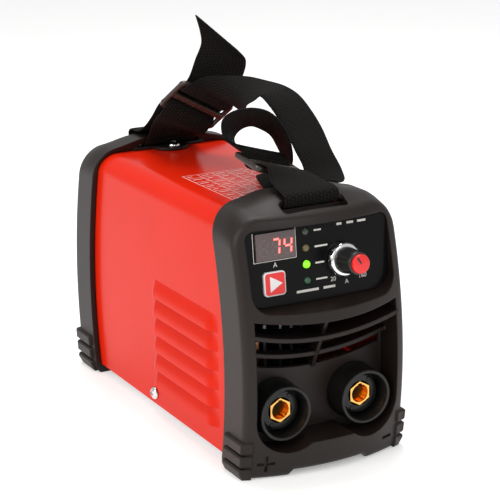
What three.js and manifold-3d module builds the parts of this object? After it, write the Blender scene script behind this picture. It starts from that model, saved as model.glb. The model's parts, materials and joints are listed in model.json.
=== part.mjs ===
// Small single-phase inverter power source for stick welding: a folded steel cover between two
// moulded end caps, with a control panel, two output sockets, a fan-cooled power stage and a
// webbing carrying strap.  Millimetres, +Z up, +Y to the rear, origin at the bottom centre.
import * as THREE from 'three';
import { mergeVertices } from 'three/addons/utils/BufferGeometryUtils.js';
import { ConvexGeometry } from 'three/addons/geometries/ConvexGeometry.js';
import { TessellateModifier } from 'three/addons/modifiers/TessellateModifier.js';
import Module from 'manifold-3d';

const wasm = await Module();
wasm.setup();

// ---------------------------------------------------------------- driving dimensions
const GAP = 0.3;                 // clearance kept between touching pieces

// end caps: a block whose front face leans and bows, so its depth is counted from that face
const CAP_HALF_WIDTH = 48;
const CAP_RIM_TOP = 136.9;       // height of the face's top edge
const CAP_CORNER = 16;
const CAP_BAND = 22.3;           // depth of the cap at its sides
const FOOT_FRONT = 103.6;        // distance of the feet's front edge from the middle
const BOW = 10.5;                // how far the face bulges at its centre line
const LEAN_RATE = 0.00209;       // side-view curvature of the face
const LEAN_HEIGHT = 51.9;        // height where the face stands furthest forward
const EDGE_RISE = 3.1;           // how much the cap's top climbs behind the rim
const HUMP_RISE = 3.7;           // extra height of the strap hump
const HUMP_HALF = 36;
const HUMP_RUN = 20;
const RISE_RUN = 12;
const RISE_START = 100;          // height below which the cap's sides stay straight
const FACET = 22;                // longest edge left on a curved plastic face

const FOOT_HALF_WIDTH = 50;
const FOOT_INSIDE = 23.7;
const FOOT_LENGTH = 19;
const FOOT_RIDGE = 6.6;
const FOOT_PITCH = 7.6;
const ARCH_HEIGHT = 2.8;

// sheet-metal cover and base
const SHEET = 1;
const COVER_HALF = 44.4;
const COVER_TOP = 136.5;
const COVER_BOTTOM = 4.9;
const COVER_CORNER = 11;
const COVER_END = 91.2;
const CORE_BACK = 91.5;          // the caps are solid outside this distance from the middle

// pressed louvres on each side of the cover
const LOUVRES = 6;
const LOUVRE_PITCH = 10.56;
const LOUVRE_TOP = 80;
const LOUVRE_HEIGHT = 9.6;
const LOUVRE_PROUD = 3;
const LOUVRE_FRONT = -74;
const LOUVRE_REAR = 5;

const SIDE_SCREW = { y: 5.9, z: 11.4 };
const BASE_SHEET = 1.2;

// strap slots and tongues
const SLOT_HALF = 19;
const SLOT_OUTER = 101;
const SLOT_INNER = 92.6;
const TONGUE_RADIUS = 11;
const TONGUE_EDGE = -71.5;
const TONGUE_SCREW = 66.4;
const TONGUE_SHEET = 1.6;

// control panel: its own frame stands at PANEL_ORIGIN and leans back by PANEL_LEAN
const PANEL_ORIGIN = [0, -100, 110];
const PANEL_LEAN = Math.atan(0.1);
const PANEL_HALF = 41.6;
const PANEL_TOP = 20;
const PANEL_BOTTOM = -17.6;
const DISPLAY = { x: -24.8, z: 11.4, width: 22.5, height: 14 };
const BUTTON = { x: -26.2, z: -8, size: 12.6 };
const LED = { x: -6.7, top: 16, pitch: 8.5, count: 4, radius: 2 };
const KNOB = { x: 14.4, z: -1.3, length: 20 };

// front recess with its grille and the output sockets
const RECESS_HALF = 42;
const RECESS_FLOOR = -94.5;
const FIN_CURVE = 0.0037;
const SOCKET = { x: 24.1, z: 33.75, face: -109.5, outer: 14.75, core: 10.5, insert: 6.9, bore: 4.75 };

// rear recess with fan, switch, gland and earth stud
const REAR_FLOOR = 95;
const FAN = { z: 51, size: 80, depth: 25, rear: 89.5, hole: 37.6, rotor: 36, hub: 14, blades: 7 };
const SWITCH = { x: -19, z: 111, width: 15, height: 30, cut: [12.6, 27], tilt: 10 };
const GLAND = { x: 20, z: 112, thread: 10, end: 120.4 };
const EARTH = { x: 34, z: 97.5 };

// carrying strap: one length of webbing, given by pairs of edge points [left, right] along its route
const WEBBING = { half: 16, thickness: 1.4 };
const BUCKLE = { half: [18.6, 11.6], thickness: 3, slotHalf: 16.7, slot: [2.2, 8.1] };
const REAR_BUCKLE = { centre: [0.2, 34.8, 168], across: [32.4, 0.4, -17.9], along: [4.6, -15, 17.4] };
const FRONT_BUCKLE = { centre: [-1.5, -56, 150.8], across: [35.9, 6.3, -10.7], along: [-2, 14, 3.2] };

// ---------------------------------------------------------------- finishes
const finish = (color, roughness, metalness = 0) =>
  new THREE.MeshStandardMaterial({ color, roughness, metalness });
const FINISH = {
  casePlastic: () => finish(0x2e2c2b, 0.6),
  redPaint: () => finish(0xd8231c, 0.3),
  zincSteel: () => finish(0xb8bcc0, 0.35, 0.9),
  chrome: () => finish(0xe6e6ea, 0.1, 1),
  blackPlastic: () => finish(0x151515, 0.4),
  redPlastic: () => finish(0xd0171a, 0.35),
  labelFilm: () => finish(0x17181b, 0.3),
  smokedWindow: () => finish(0x2a1012, 0.1),
  displayBody: () => finish(0x3b3130, 0.5),
  brass: () => finish(0xe0982c, 0.25, 1),
  socketRubber: () => finish(0x2c2b2b, 0.7),
  webbing: () => finish(0x17161a, 0.9),
  buckle: () => finish(0x1d1b1a, 0.45),
  circuitBoard: () => finish(0x1d5b34, 0.5),
  aluminium: () => finish(0xc4c8cc, 0.4, 0.9),
  ferrite: () => finish(0x34363a, 0.8),
  copper: () => finish(0xc4703a, 0.35, 0.9),
  capacitorSleeve: () => finish(0x1c2a4a, 0.45),
  ledLens: (color) => finish(color, 0.2),
};

// ---------------------------------------------------------------- small geometry kit
const smooth = (t) => {
  const c = Math.min(1, Math.max(0, t));
  return c * c * (3 - 2 * c);
};

// A closed solid from any closed three.js geometry; its faces are turned outwards.
function solid(geometry) {
  const bare = geometry.clone();
  bare.deleteAttribute('normal');
  bare.deleteAttribute('uv');
  const merged = mergeVertices(bare, 1e-4);
  const position = merged.attributes.position;
  const [a, b, c] = [new THREE.Vector3(), new THREE.Vector3(), new THREE.Vector3()];
  const triangles = [];
  let volume = 0;
  for (let i = 0; i < merged.index.count; i += 3) {
    const [p, q, r] = [0, 1, 2].map((k) => merged.index.getX(i + k));
    if (p === q || q === r || r === p) continue;
    triangles.push(p, q, r);
    a.fromBufferAttribute(position, p);
    b.fromBufferAttribute(position, q);
    c.fromBufferAttribute(position, r);
    volume += a.dot(b.cross(c));
  }
  if (volume < 0) triangles.reverse();
  return new wasm.Manifold(new wasm.Mesh({
    numProp: 3,
    vertProperties: new Float32Array(position.array),
    triVerts: new Uint32Array(triangles),
  }));
}

function geometryOf(shape) {
  const mesh = shape.getMesh();
  const geometry = new THREE.BufferGeometry();
  geometry.setAttribute('position', new THREE.BufferAttribute(mesh.vertProperties, 3));
  geometry.setIndex(new THREE.BufferAttribute(mesh.triVerts, 1));
  return geometry;
}

const join = (...shapes) => shapes.reduce((sum, shape) => sum.add(shape));
const cut = (shape, ...tools) => tools.reduce((rest, tool) => rest.subtract(tool), shape);

// Extrusion of a 2-D shape from one station to another along a row axis:
// along x the shape is drawn in (y, z), along y in (x, z), along z in (x, y).
function extrude(axis, shape, from, to, curveSegments = 4) {
  const options = { depth: to - from, bevelEnabled: false, curveSegments };
  const geometry = new THREE.ExtrudeGeometry(shape, options);
  const X = new THREE.Vector3(1, 0, 0);
  const Y = new THREE.Vector3(0, 1, 0);
  const Z = new THREE.Vector3(0, 0, 1);
  const basis = new THREE.Matrix4();
  if (axis === 'x') basis.makeBasis(Y, Z, X).setPosition(from, 0, 0);
  if (axis === 'y') basis.makeBasis(X, Z, Y.clone().negate()).setPosition(0, to, 0);
  if (axis === 'z') basis.setPosition(0, 0, from);
  return solid(geometry.applyMatrix4(basis));
}

function box(x, y, z) {
  const geometry = new THREE.BoxGeometry(x[1] - x[0], y[1] - y[0], z[1] - z[0]);
  return solid(geometry.translate((x[0] + x[1]) / 2, (y[0] + y[1]) / 2, (z[0] + z[1]) / 2));
}

function roundRect(left, right, bottom, top, radius) {
  const shape = new THREE.Shape();
  shape.moveTo(left + radius, bottom);
  shape.lineTo(right - radius, bottom);
  shape.absarc(right - radius, bottom + radius, radius, -Math.PI / 2, 0);
  shape.lineTo(right, top - radius);
  shape.absarc(right - radius, top - radius, radius, 0, Math.PI / 2);
  shape.lineTo(left + radius, top);
  shape.absarc(left + radius, top - radius, radius, Math.PI / 2, Math.PI);
  shape.lineTo(left, bottom + radius);
  shape.absarc(left + radius, bottom + radius, radius, Math.PI, 1.5 * Math.PI);
  return shape;
}

function disc(x, y, radius) {
  const shape = new THREE.Shape();
  shape.absarc(x, y, radius, 0, 2 * Math.PI);
  return shape;
}

function polygon(...points) {
  return new THREE.Shape(points.map(([u, v]) => new THREE.Vector2(u, v)));
}

function regularPolygon(x, y, radius, sides) {
  const corner = (i) => {
    const angle = (i + 0.5) * 2 * Math.PI / sides;
    return [x + radius * Math.cos(angle), y + radius * Math.sin(angle)];
  };
  return polygon(...Array.from({ length: sides }, (_, i) => corner(i)));
}

const cylinder = (axis, u, v, radius, from, to, segments = 8) =>
  extrude(axis, disc(u, v, radius), from, to, segments);

// Body of revolution about the y axis through (x, z); the profile lists [radius, y] pairs.
function turned(x, z, profile, segments = 28) {
  const points = profile.map(([radius, y]) => new THREE.Vector2(radius, y));
  return solid(new THREE.LatheGeometry(points, segments).translate(x, 0, z));
}

// The same shape with every vertex moved by a rule; long edges are split first.
function bend(shape, longestEdge, rule) {
  const split = new TessellateModifier(longestEdge, 16).modify(geometryOf(shape).toNonIndexed());
  const position = split.attributes.position;
  for (let i = 0; i < position.count; i += 1) {
    position.setXYZ(i, ...rule(position.getX(i), position.getY(i), position.getZ(i)));
  }
  return solid(split);
}

const mirroredY = (shape) => solid(geometryOf(shape).scale(1, -1, 1));
const mirroredX = (shape) => solid(geometryOf(shape).scale(-1, 1, 1));

// ---------------------------------------------------------------- assembly
const inverter = new THREE.Group();
const panel = new THREE.Group();
panel.position.set(...PANEL_ORIGIN);
panel.rotation.x = -PANEL_LEAN;
inverter.add(panel);

function place(name, shape, material, group = inverter) {
  const mesh = new THREE.Mesh(geometryOf(shape), material);
  mesh.name = name;
  group.add(mesh);
  return mesh;
}

// Panel shapes are drawn in the panel's frame; this gives one in the row frame.
function fromPanel(shape) {
  panel.updateMatrix();
  return solid(geometryOf(shape).applyMatrix4(panel.matrix));
}

// ---------------------------------------------------------------- end caps
const lean = (z) => LEAN_RATE * ((z - LEAN_HEIGHT) ** 2 - LEAN_HEIGHT ** 2);

// Flat cap space (x, depth behind the face, z) to the bowed, leaning front cap.
function capRule(x, depth, z) {
  const across = Math.min(1, (x / CAP_HALF_WIDTH) ** 2);
  const bow = BOW * (1 - across) * Math.max(0, 1 - depth / CAP_BAND);
  const hump = HUMP_RISE * smooth((HUMP_HALF - Math.abs(x)) / HUMP_RUN);
  const ramp = Math.max(0, (z - RISE_START) / (CAP_RIM_TOP - RISE_START));
  const rise = smooth(depth / RISE_RUN) * (EDGE_RISE + hump) * ramp;
  return [x, -FOOT_FRONT + lean(z) + depth - bow, z + rise];
}

function capOutline() {
  const chamfer = [2.1, 4.2];
  const shape = new THREE.Shape();
  shape.moveTo(-CAP_HALF_WIDTH + chamfer[0], 0);
  shape.lineTo(-FOOT_INSIDE, 0);
  shape.lineTo(-FOOT_INSIDE + ARCH_HEIGHT, ARCH_HEIGHT);
  shape.lineTo(FOOT_INSIDE - ARCH_HEIGHT, ARCH_HEIGHT);
  shape.lineTo(FOOT_INSIDE, 0);
  shape.lineTo(CAP_HALF_WIDTH - chamfer[0], 0);
  shape.lineTo(CAP_HALF_WIDTH, chamfer[1]);
  shape.lineTo(CAP_HALF_WIDTH, CAP_RIM_TOP - CAP_CORNER);
  shape.absarc(CAP_HALF_WIDTH - CAP_CORNER, CAP_RIM_TOP - CAP_CORNER, CAP_CORNER, 0, Math.PI / 2);
  shape.lineTo(-CAP_HALF_WIDTH + CAP_CORNER, CAP_RIM_TOP);
  shape.absarc(-CAP_HALF_WIDTH + CAP_CORNER, CAP_RIM_TOP - CAP_CORNER, CAP_CORNER, Math.PI / 2, Math.PI);
  shape.lineTo(-CAP_HALF_WIDTH, chamfer[1]);
  return shape;
}

// One foot ridge in flat cap space, wrapping the side and a little of the face.
function footRidge(side, level) {
  const bottom = level * FOOT_PITCH;
  const top = bottom + FOOT_RIDGE;
  const slope = level === 0 ? 4.2 : 1;
  const inset = level === 0 ? 2.1 : 1;
  const [inner, outer] = [side * (CAP_HALF_WIDTH - 4.5), side * FOOT_HALF_WIDTH];
  const section = polygon(
    [inner, bottom], [outer - side * inset, bottom], [outer, bottom + slope],
    [outer, top - 1], [outer - side, top], [inner, top],
  );
  return extrude('y', section, -1.2, FOOT_LENGTH);
}

function coverOutline(grow) {
  const half = COVER_HALF + grow;
  const top = COVER_TOP + grow;
  const radius = COVER_CORNER + grow;
  const bottom = COVER_BOTTOM - GAP;
  const shape = new THREE.Shape();
  shape.moveTo(-half, bottom);
  shape.lineTo(half, bottom);
  shape.lineTo(half, top - radius);
  shape.absarc(half - radius, top - radius, radius, 0, Math.PI / 2);
  shape.lineTo(-half + radius, top);
  shape.absarc(-half + radius, top - radius, radius, Math.PI / 2, Math.PI);
  return shape;
}

// Rounded tab over the cover, tied to the cap by an arm and a wall on either side of the webbing.
function capTongue() {
  const bottom = COVER_TOP + GAP;
  const top = bottom + TONGUE_SHEET;
  const [arm, armEnd, wall] = [8, 22.5, [20.3, 23]];
  const shape = new THREE.Shape();
  shape.moveTo(-TONGUE_RADIUS, TONGUE_EDGE - 4);
  shape.lineTo(TONGUE_RADIUS, TONGUE_EDGE - 4);
  shape.absarc(0, TONGUE_EDGE, TONGUE_RADIUS, 0, Math.PI);
  const sides = [-1, 1].flatMap((side) => {
    const spread = (a, b) => [Math.min(side * a, side * b), Math.max(side * a, side * b)];
    return [
      box(spread(arm, armEnd), [TONGUE_EDGE - 6, TONGUE_EDGE], [bottom, top]),
      box(spread(...wall), [TONGUE_EDGE - 6, TONGUE_EDGE], [top - 1, 141.5]),
    ];
  });
  return join(extrude('z', shape, bottom, top), ...sides);
}

// Both caps before their own features: block, feet, cover recess, strap slot and tongue.
// The channel and the space under the bar let the webbing pass from the slot to the cover.
function capBlank() {
  const flatBlock = extrude('y', capOutline(), 0, CAP_BAND);
  const ridges = [-1, 1].flatMap((side) => [0, 1, 2].map((level) => footRidge(side, level)));
  const block = bend(join(flatBlock, ...ridges), FACET, capRule);
  const flatChannel = box([-20, 20], [3, 30], [128, CAP_RIM_TOP - 2.6]);
  const channel = bend(flatChannel, 14, capRule);
  const underBar = box([-17.5, 17.5], [-93, -72], [130, 139.6]);
  const coverRoom = extrude('y', coverOutline(0.4), -CORE_BACK, 0);
  const slot = extrude('z', roundRect(-SLOT_HALF, SLOT_HALF, -SLOT_OUTER, -SLOT_INNER, 2.5), 132, 150);
  const hollow = cut(block, channel, underBar, coverRoom, slot);
  const screwHole = cylinder('z', 0, -TONGUE_SCREW, 2.2, 130, 145);
  return cut(join(hollow, capTongue()), screwHole);
}

// Outline of the control label; the room in front of it is the same shape, grown a little.
function panelOutline(grow) {
  const [half, top, bottom] = [PANEL_HALF + grow, PANEL_TOP + grow, PANEL_BOTTOM - grow];
  const shape = new THREE.Shape();
  shape.moveTo(-34, bottom - 2);
  shape.quadraticCurveTo(0, bottom - 3, 34, bottom - 2);
  shape.quadraticCurveTo(half, bottom, half, bottom + 9);
  shape.lineTo(half, top - 6);
  shape.quadraticCurveTo(half, top, half - 6, top);
  shape.lineTo(-half + 6, top);
  shape.quadraticCurveTo(-half, top, -half, top - 6);
  shape.lineTo(-half, bottom + 9);
  shape.quadraticCurveTo(-half, bottom, -34, bottom - 2);
  return shape;
}

// Room in front of the control label; its bottom slopes out to the face.
function panelRecess() {
  const prism = extrude('y', panelOutline(0.4), -26, 0.3);
  const sloped = bend(prism, 200, (x, y, z) => (z < 0 && y < -1 ? [x, y, z - 5.4] : [x, y, z]));
  return fromPanel(sloped);
}

// The openings that the label, the cap's panel floor and nothing else share.
function panelHoles(grow, from, to) {
  const { x, z } = DISPLAY;
  const [halfWidth, halfHeight] = [DISPLAY.width / 2 + grow, DISPLAY.height / 2 + grow];
  const window = roundRect(x - halfWidth, x + halfWidth, z - halfHeight, z + halfHeight, 1);
  const half = BUTTON.size / 2 + grow;
  const button = roundRect(BUTTON.x - half, BUTTON.x + half, BUTTON.z - half, BUTTON.z + half, 2);
  const leds = Array.from({ length: LED.count }, (_, i) =>
    cylinder('y', LED.x, LED.top - i * LED.pitch, LED.radius + grow, from, to, 6));
  const bush = cylinder('y', KNOB.x, KNOB.z, 3.5 + grow, from, to, 8);
  return join(extrude('y', window, from, to), extrude('y', button, from, to), bush, ...leds);
}

// Outline between two curved lines, from x = -half to half.
function curvedStrip(half, lower, upper, rate = FIN_CURVE) {
  const rise = rate * half * half;
  const shape = new THREE.Shape();
  shape.moveTo(-half, lower + rise);
  shape.quadraticCurveTo(0, lower - rise, half, lower + rise);
  shape.lineTo(half, upper + rise);
  shape.quadraticCurveTo(0, upper - rise, -half, upper + rise);
  return shape;
}

// Room around the sockets: round bottoms under each socket, arched top.
function socketRecess() {
  const [centre, low, radius] = [SOCKET.x, 32, 18];
  const shape = new THREE.Shape();
  shape.moveTo(-RECESS_HALF, low);
  shape.absarc(-centre, low, radius, Math.PI, Math.PI * 1.72);
  shape.quadraticCurveTo(0, 18.4, centre - radius * 0.64, low - radius * 0.77);
  shape.absarc(centre, low, radius, Math.PI * 1.28, 2 * Math.PI);
  shape.lineTo(RECESS_HALF, 85.8);
  shape.quadraticCurveTo(0, 78.8, -RECESS_HALF, 85.8);
  return shape;
}

function frontGrille() {
  const fin = (height, front) => extrude('y', curvedStrip(43.5, height - 2.3, height), front, -CORE_BACK);
  const rib = extrude('x', polygon([-112, 84], [-95.2, 51], [-CORE_BACK, 51], [-CORE_BACK, 84]), -1.1, 1.1);
  return join(fin(72.4, -110), fin(60.7, -99), rib);
}

function frontBezel() {
  const recess = extrude('y', socketRecess(), -130, RECESS_FLOOR);
  const vent = extrude('y', curvedStrip(RECESS_HALF - 1, 52, 80.5), RECESS_FLOOR - 1, -CORE_BACK + 1);
  const behindPanel = fromPanel(box([-38, 38], [2.3, 16], [-16.5, 18.5]));
  const socketHoles = [-1, 1].map((side) => cylinder('y', side * SOCKET.x, SOCKET.z, 11.3, -100, -90, 8));
  const controlHoles = fromPanel(panelHoles(0.4, -1, 4));
  const opened = cut(capBlank(), recess, vent, panelRecess(), behindPanel, controlHoles, ...socketHoles);
  return join(opened, frontGrille());
}

function rearGrilleSlots() {
  const radius = 35.5;
  return [-4, -3, -2, -1, 0, 1, 2, 3, 4].map((row) => {
    const height = row * 7.6;
    const half = Math.sqrt(radius ** 2 - height ** 2);
    const middle = FAN.z + height;
    return extrude('y', roundRect(-half, half, middle - 2.2, middle + 2.2, 2.1), -100, -80, 3);
  });
}

// Drawn like the front cap and then turned to the rear, so y is negative outwards here.
function rearBezel() {
  const recess = extrude('y', roundRect(-41, 41, 11, 129, 8), -130, -REAR_FLOOR);
  const [width, height] = SWITCH.cut;
  const switchHole = box([SWITCH.x - width / 2 - GAP, SWITCH.x + width / 2 + GAP], [-100, -80],
    [SWITCH.z - height / 2 - GAP, SWITCH.z + height / 2 + GAP]);
  const glandHole = cylinder('y', GLAND.x, GLAND.z, GLAND.thread + GAP, -100, -80, 8);
  const earthHole = cylinder('y', EARTH.x, EARTH.z, 3.3, -100, -80, 6);
  return mirroredY(cut(capBlank(), recess, switchHole, glandHole, earthHole, ...rearGrilleSlots()));
}

place('front_bezel', frontBezel(), FINISH.casePlastic());
place('rear_bezel', rearBezel(), FINISH.casePlastic());

// ---------------------------------------------------------------- cover and base
// One louvre on the -x side: a scoop that is flush at its top and stands proud at its mouth.
function louvre(top) {
  const bottom = top - LOUVRE_HEIGHT;
  const [front, rear] = [LOUVRE_FRONT, LOUVRE_REAR];
  const hull = (points) => solid(new ConvexGeometry(points.map((p) => new THREE.Vector3(...p))));
  const scoop = (x, inset, proud, low, high) => hull([
    [x, front + inset, high], [x, rear - inset, high], [x, front + inset, low], [x, rear - inset, low],
    [-COVER_HALF - proud, front + 8 + inset, low], [-COVER_HALF - proud, rear - 2.5 - inset, low],
  ]);
  const shell = scoop(-COVER_HALF + SHEET / 2, 0, LOUVRE_PROUD, bottom, top);
  const hollow = scoop(-COVER_HALF + SHEET + 0.5, 3, LOUVRE_PROUD - 1, bottom + 0.7, top - 2.2);
  const mouth = box([-COVER_HALF - LOUVRE_PROUD + 1, -COVER_HALF - 0.1], [front + 12, rear - 6],
    [bottom - 1, bottom + 1.2]);
  return { shell, hollow: join(hollow, mouth) };
}

function cover() {
  const outer = extrude('y', coverOutline(0), -COVER_END, COVER_END);
  const inner = extrude('y', coverOutline(-SHEET), -COVER_END - 1, COVER_END + 1);
  const open = box([-50, 50], [-100, 100], [0, COVER_BOTTOM]);
  const scoops = Array.from({ length: LOUVRES }, (_, i) => louvre(LOUVRE_TOP - i * LOUVRE_PITCH));
  const shells = join(...scoops.map((scoop) => scoop.shell));
  const hollows = join(...scoops.map((scoop) => scoop.hollow));
  const screwHoles = [
    cylinder('x', SIDE_SCREW.y, SIDE_SCREW.z, 2.2, -50, 50, 6),
    cylinder('z', 0, TONGUE_SCREW, 2.2, 130, 140, 6),
    cylinder('z', 0, -TONGUE_SCREW, 2.2, 130, 140, 6),
  ];
  const sheet = cut(outer, inner, open, ...screwHoles);
  return cut(join(sheet, shells, mirroredX(shells)), hollows, mirroredX(hollows));
}

// Floor pan with upturned flanges that the cover screws into.
function basePlate() {
  const outer = COVER_HALF - SHEET - GAP;
  const inner = outer - BASE_SHEET;
  const [low, floor, high] = [COVER_BOTTOM, COVER_BOTTOM + BASE_SHEET, 17];
  const section = polygon([-outer, low], [outer, low], [outer, high], [inner, high], [inner, floor],
    [-inner, floor], [-inner, high], [-outer, high]);
  const screwHole = cylinder('x', SIDE_SCREW.y, SIDE_SCREW.z, 2.2, -50, 50, 6);
  return cut(extrude('y', section, -COVER_END, COVER_END), screwHole);
}

// Pan-head screw about the y axis: head towards -y, underside of the head at y = 0.
const panScrew = (length) => turned(0, 0, [
  [0, -2.3], [2.2, -2], [3.5, -1], [3.7, 0], [1.9, 0], [1.9, length], [0, length],
], 14);

place('cover', cover(), FINISH.redPaint());
place('base_plate', basePlate(), FINISH.zincSteel());
for (const [side, name] of [[-1, 'left'], [1, 'right']]) {
  const screw = place(`cover_screw_${name}`, panScrew(6), FINISH.chrome());
  screw.position.set(side * (COVER_HALF + GAP), SIDE_SCREW.y, SIDE_SCREW.z);
  screw.rotation.z = side * Math.PI / 2;
}
for (const [side, name] of [[-1, 'front'], [1, 'rear']]) {
  const screw = place(`cap_screw_${name}`, panScrew(8), FINISH.chrome());
  screw.position.set(0, side * TONGUE_SCREW, COVER_TOP + 2 * GAP + TONGUE_SHEET);
  screw.rotation.x = -Math.PI / 2;
}

// ---------------------------------------------------------------- control panel
function controlLabel() {
  return cut(extrude('y', panelOutline(0), -0.8, 0), panelHoles(0.3, -2, 1));
}

function centredBox(x, z, width, height, from, to) {
  return box([x - width / 2, x + width / 2], [from, to], [z - height / 2, z + height / 2]);
}

function modeButton() {
  const { x, z } = BUTTON;
  const half = BUTTON.size / 2;
  return extrude('y', roundRect(x - half, x + half, z - half, z + half, 2), -2, 3.4, 4);
}

place('control_label', controlLabel(), FINISH.labelFilm(), panel);
place('display_module', centredBox(DISPLAY.x, DISPLAY.z, DISPLAY.width, DISPLAY.height, -0.9, 6.5),
  FINISH.displayBody(), panel);
place('display_window', centredBox(DISPLAY.x, DISPLAY.z, DISPLAY.width, DISPLAY.height, -2, -1.2),
  FINISH.smokedWindow(), panel);
[0x4a1c10, 0x7a5a12, 0x35d02a, 0x1d5c1a].forEach((color, i) => {
  const profile = [[0, -2.2], [1.2, -1.9], [2, -1], [2, 5], [0, 5]];
  const lens = turned(LED.x, LED.top - i * LED.pitch, profile, 12);
  place(`status_led_${i + 1}`, lens, FINISH.ledLens(color), panel);
});
place('mode_button', modeButton(), FINISH.redPlastic(), panel);
place('tact_switch', centredBox(BUTTON.x, BUTTON.z, 6, 6, 4.6, 8), FINISH.blackPlastic(), panel);
place('control_board', box([-37, 37], [8.3, 9.9], [-16, 18]), FINISH.circuitBoard(), panel);

const knobPart = (name, profile, material, segments) =>
  place(name, turned(KNOB.x, KNOB.z, profile, segments), material, panel);
knobPart('potentiometer',
  [[0, 8], [8, 8], [8, 2.6], [3.5, 2.6], [3.5, -4], [3.1, -4], [3.1, 6.5], [0, 6.5]],
  FINISH.zincSteel(), 20);
knobPart('knob_shaft', [[0, -15.7], [3, -15.7], [3, 6.2], [0, 6.2]], FINISH.aluminium(), 20);
knobPart('knob_skirt',
  [[6.9, -1.3], [9.1, -1.3], [9.1, -2.6], [8.4, -4.6], [3.6, -4.6], [3.6, -3.8], [6.9, -3.8], [6.9, -1.3]],
  FINISH.chrome(), 28);
knobPart('knob_body',
  [[0, -17.6], [5.9, -17.6], [7, -5.6], [7, -4.9], [3.3, -4.9], [3.3, -16], [0, -16]],
  FINISH.blackPlastic(), 28);
knobPart('knob_cap', [[0, -KNOB.length], [4.2, -KNOB.length], [5, -19.4], [5, -17.9], [0, -17.9]],
  FINISH.redPlastic(), 28);
place('potentiometer_nut', cut(
  extrude('y', regularPolygon(KNOB.x, KNOB.z, 6.3, 6), -3.4, -1.1),
  cylinder('y', KNOB.x, KNOB.z, 3.8, -4, 0, 8)), FINISH.zincSteel(), panel);

// ---------------------------------------------------------------- output sockets
const socketBody = (x) => turned(x, SOCKET.z, [
  [7, SOCKET.face + 6.7], [SOCKET.core, SOCKET.face + 6.7], [SOCKET.core, SOCKET.face + 12.5],
  [12.9, SOCKET.face + 12.5], [12.9, SOCKET.face], [SOCKET.outer, SOCKET.face], [15.4, RECESS_FLOOR - GAP],
  [11, RECESS_FLOOR - GAP], [11, -79], [7, -79], [7, SOCKET.face + 6.7],
]);

function socketInsert(x) {
  const outside = extrude('y', regularPolygon(x, SOCKET.z, 6.7, 6), SOCKET.face + 6.4, -70);
  const bore = cylinder('y', x, SOCKET.z, SOCKET.bore, SOCKET.face, -73, 8);
  const keyway = box([x - 1.2, x + 1.2], [SOCKET.face, -86], [SOCKET.z, SOCKET.z + 5.6]);
  return cut(outside, bore, keyway);
}

const socketNut = (x) => cut(
  extrude('y', regularPolygon(x, SOCKET.z, 15, 6), -CORE_BACK + GAP, -86),
  cylinder('y', x, SOCKET.z, 11.3, -100, -80, 8));

// Output bar from the back of a socket insert up to the heat sink behind it.
const busbar = (x) => extrude('x',
  polygon([-69.6, 28.5], [-66.6, 28.5], [-66.6, 57], [-52.4, 57], [-52.4, 60], [-69.6, 60]), x - 6, x + 6);

for (const [side, name] of [[-1, 'positive'], [1, 'negative']]) {
  place(`socket_body_${name}`, socketBody(side * SOCKET.x), FINISH.socketRubber());
  place(`socket_insert_${name}`, socketInsert(side * SOCKET.x), FINISH.brass());
  place(`socket_nut_${name}`, socketNut(side * SOCKET.x), FINISH.zincSteel());
  place(`busbar_${name}`, busbar(side * SOCKET.x), FINISH.copper());
}

// ---------------------------------------------------------------- rear fittings
function switchHousing() {
  const [width, height] = SWITCH.cut;
  const outside = join(
    centredBox(SWITCH.x, SWITCH.z, SWITCH.width, SWITCH.height, REAR_FLOOR + GAP, 97.8),
    centredBox(SWITCH.x, SWITCH.z, width, height, 78, 96));
  return cut(outside, centredBox(SWITCH.x, SWITCH.z, 10.8, 25.2, 83, 99));
}

// Rocker at its "off" position, pivoting about x at the housing's mouth.
function powerRocker() {
  const section = polygon([-6, -3], [-1, -11], [5, -11.6], [3.4, 0], [5, 11.6], [-1, 11], [-6, 3]);
  const rocker = extrude('x', section, -5, 5);
  const turn = new THREE.Matrix4().makeRotationX(-SWITCH.tilt * Math.PI / 180);
  const seat = new THREE.Matrix4().makeTranslation(SWITCH.x, 94.6, SWITCH.z);
  return solid(geometryOf(rocker).applyMatrix4(seat.multiply(turn)));
}

function fanFrame() {
  const half = FAN.size / 2;
  const front = FAN.rear - FAN.depth;
  const body = extrude('y', roundRect(-half, half, FAN.z - half, FAN.z + half, 4), front, FAN.rear);
  const hole = cylinder('y', 0, FAN.z, FAN.hole, front - 1, FAN.rear + 1, 16);
  const hub = cylinder('y', 0, FAN.z, FAN.hub, front, front + 3, 12);
  const struts = [0, 1, 2, 3].map((i) => {
    const strut = box([FAN.hub - 1, FAN.hole + 1], [front, front + 3], [-2, 2]);
    const turn = new THREE.Matrix4().makeRotationY(Math.PI / 4 + i * Math.PI / 2).setPosition(0, 0, FAN.z);
    return solid(geometryOf(strut).applyMatrix4(turn));
  });
  return join(cut(body, hole), hub, ...struts);
}

function fanRotor() {
  const front = FAN.rear - FAN.depth + 4;
  const rear = FAN.rear - 2;
  const hub = turned(0, FAN.z, [[1.6, front], [FAN.hub, front], [FAN.hub, rear], [0, rear], [0, rear - 2],
    [1.6, rear - 2], [1.6, front]], 24);
  const blades = Array.from({ length: FAN.blades }, (_, i) => {
    const blade = box([FAN.hub - 1.5, FAN.rotor], [-10, 10], [-0.8, 0.8]);
    const pitch = new THREE.Matrix4().makeRotationX(0.7);
    const turn = new THREE.Matrix4().makeRotationY(i * 2 * Math.PI / FAN.blades);
    turn.setPosition(0, (front + rear) / 2, FAN.z);
    return solid(geometryOf(blade).applyMatrix4(turn.multiply(pitch)));
  });
  return join(hub, ...blades);
}

const hexNut = (x, z, radius, bore, from, to) => cut(
  extrude('y', regularPolygon(x, z, radius, 6), from, to), cylinder('y', x, z, bore, from - 1, to + 1, 8));

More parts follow.
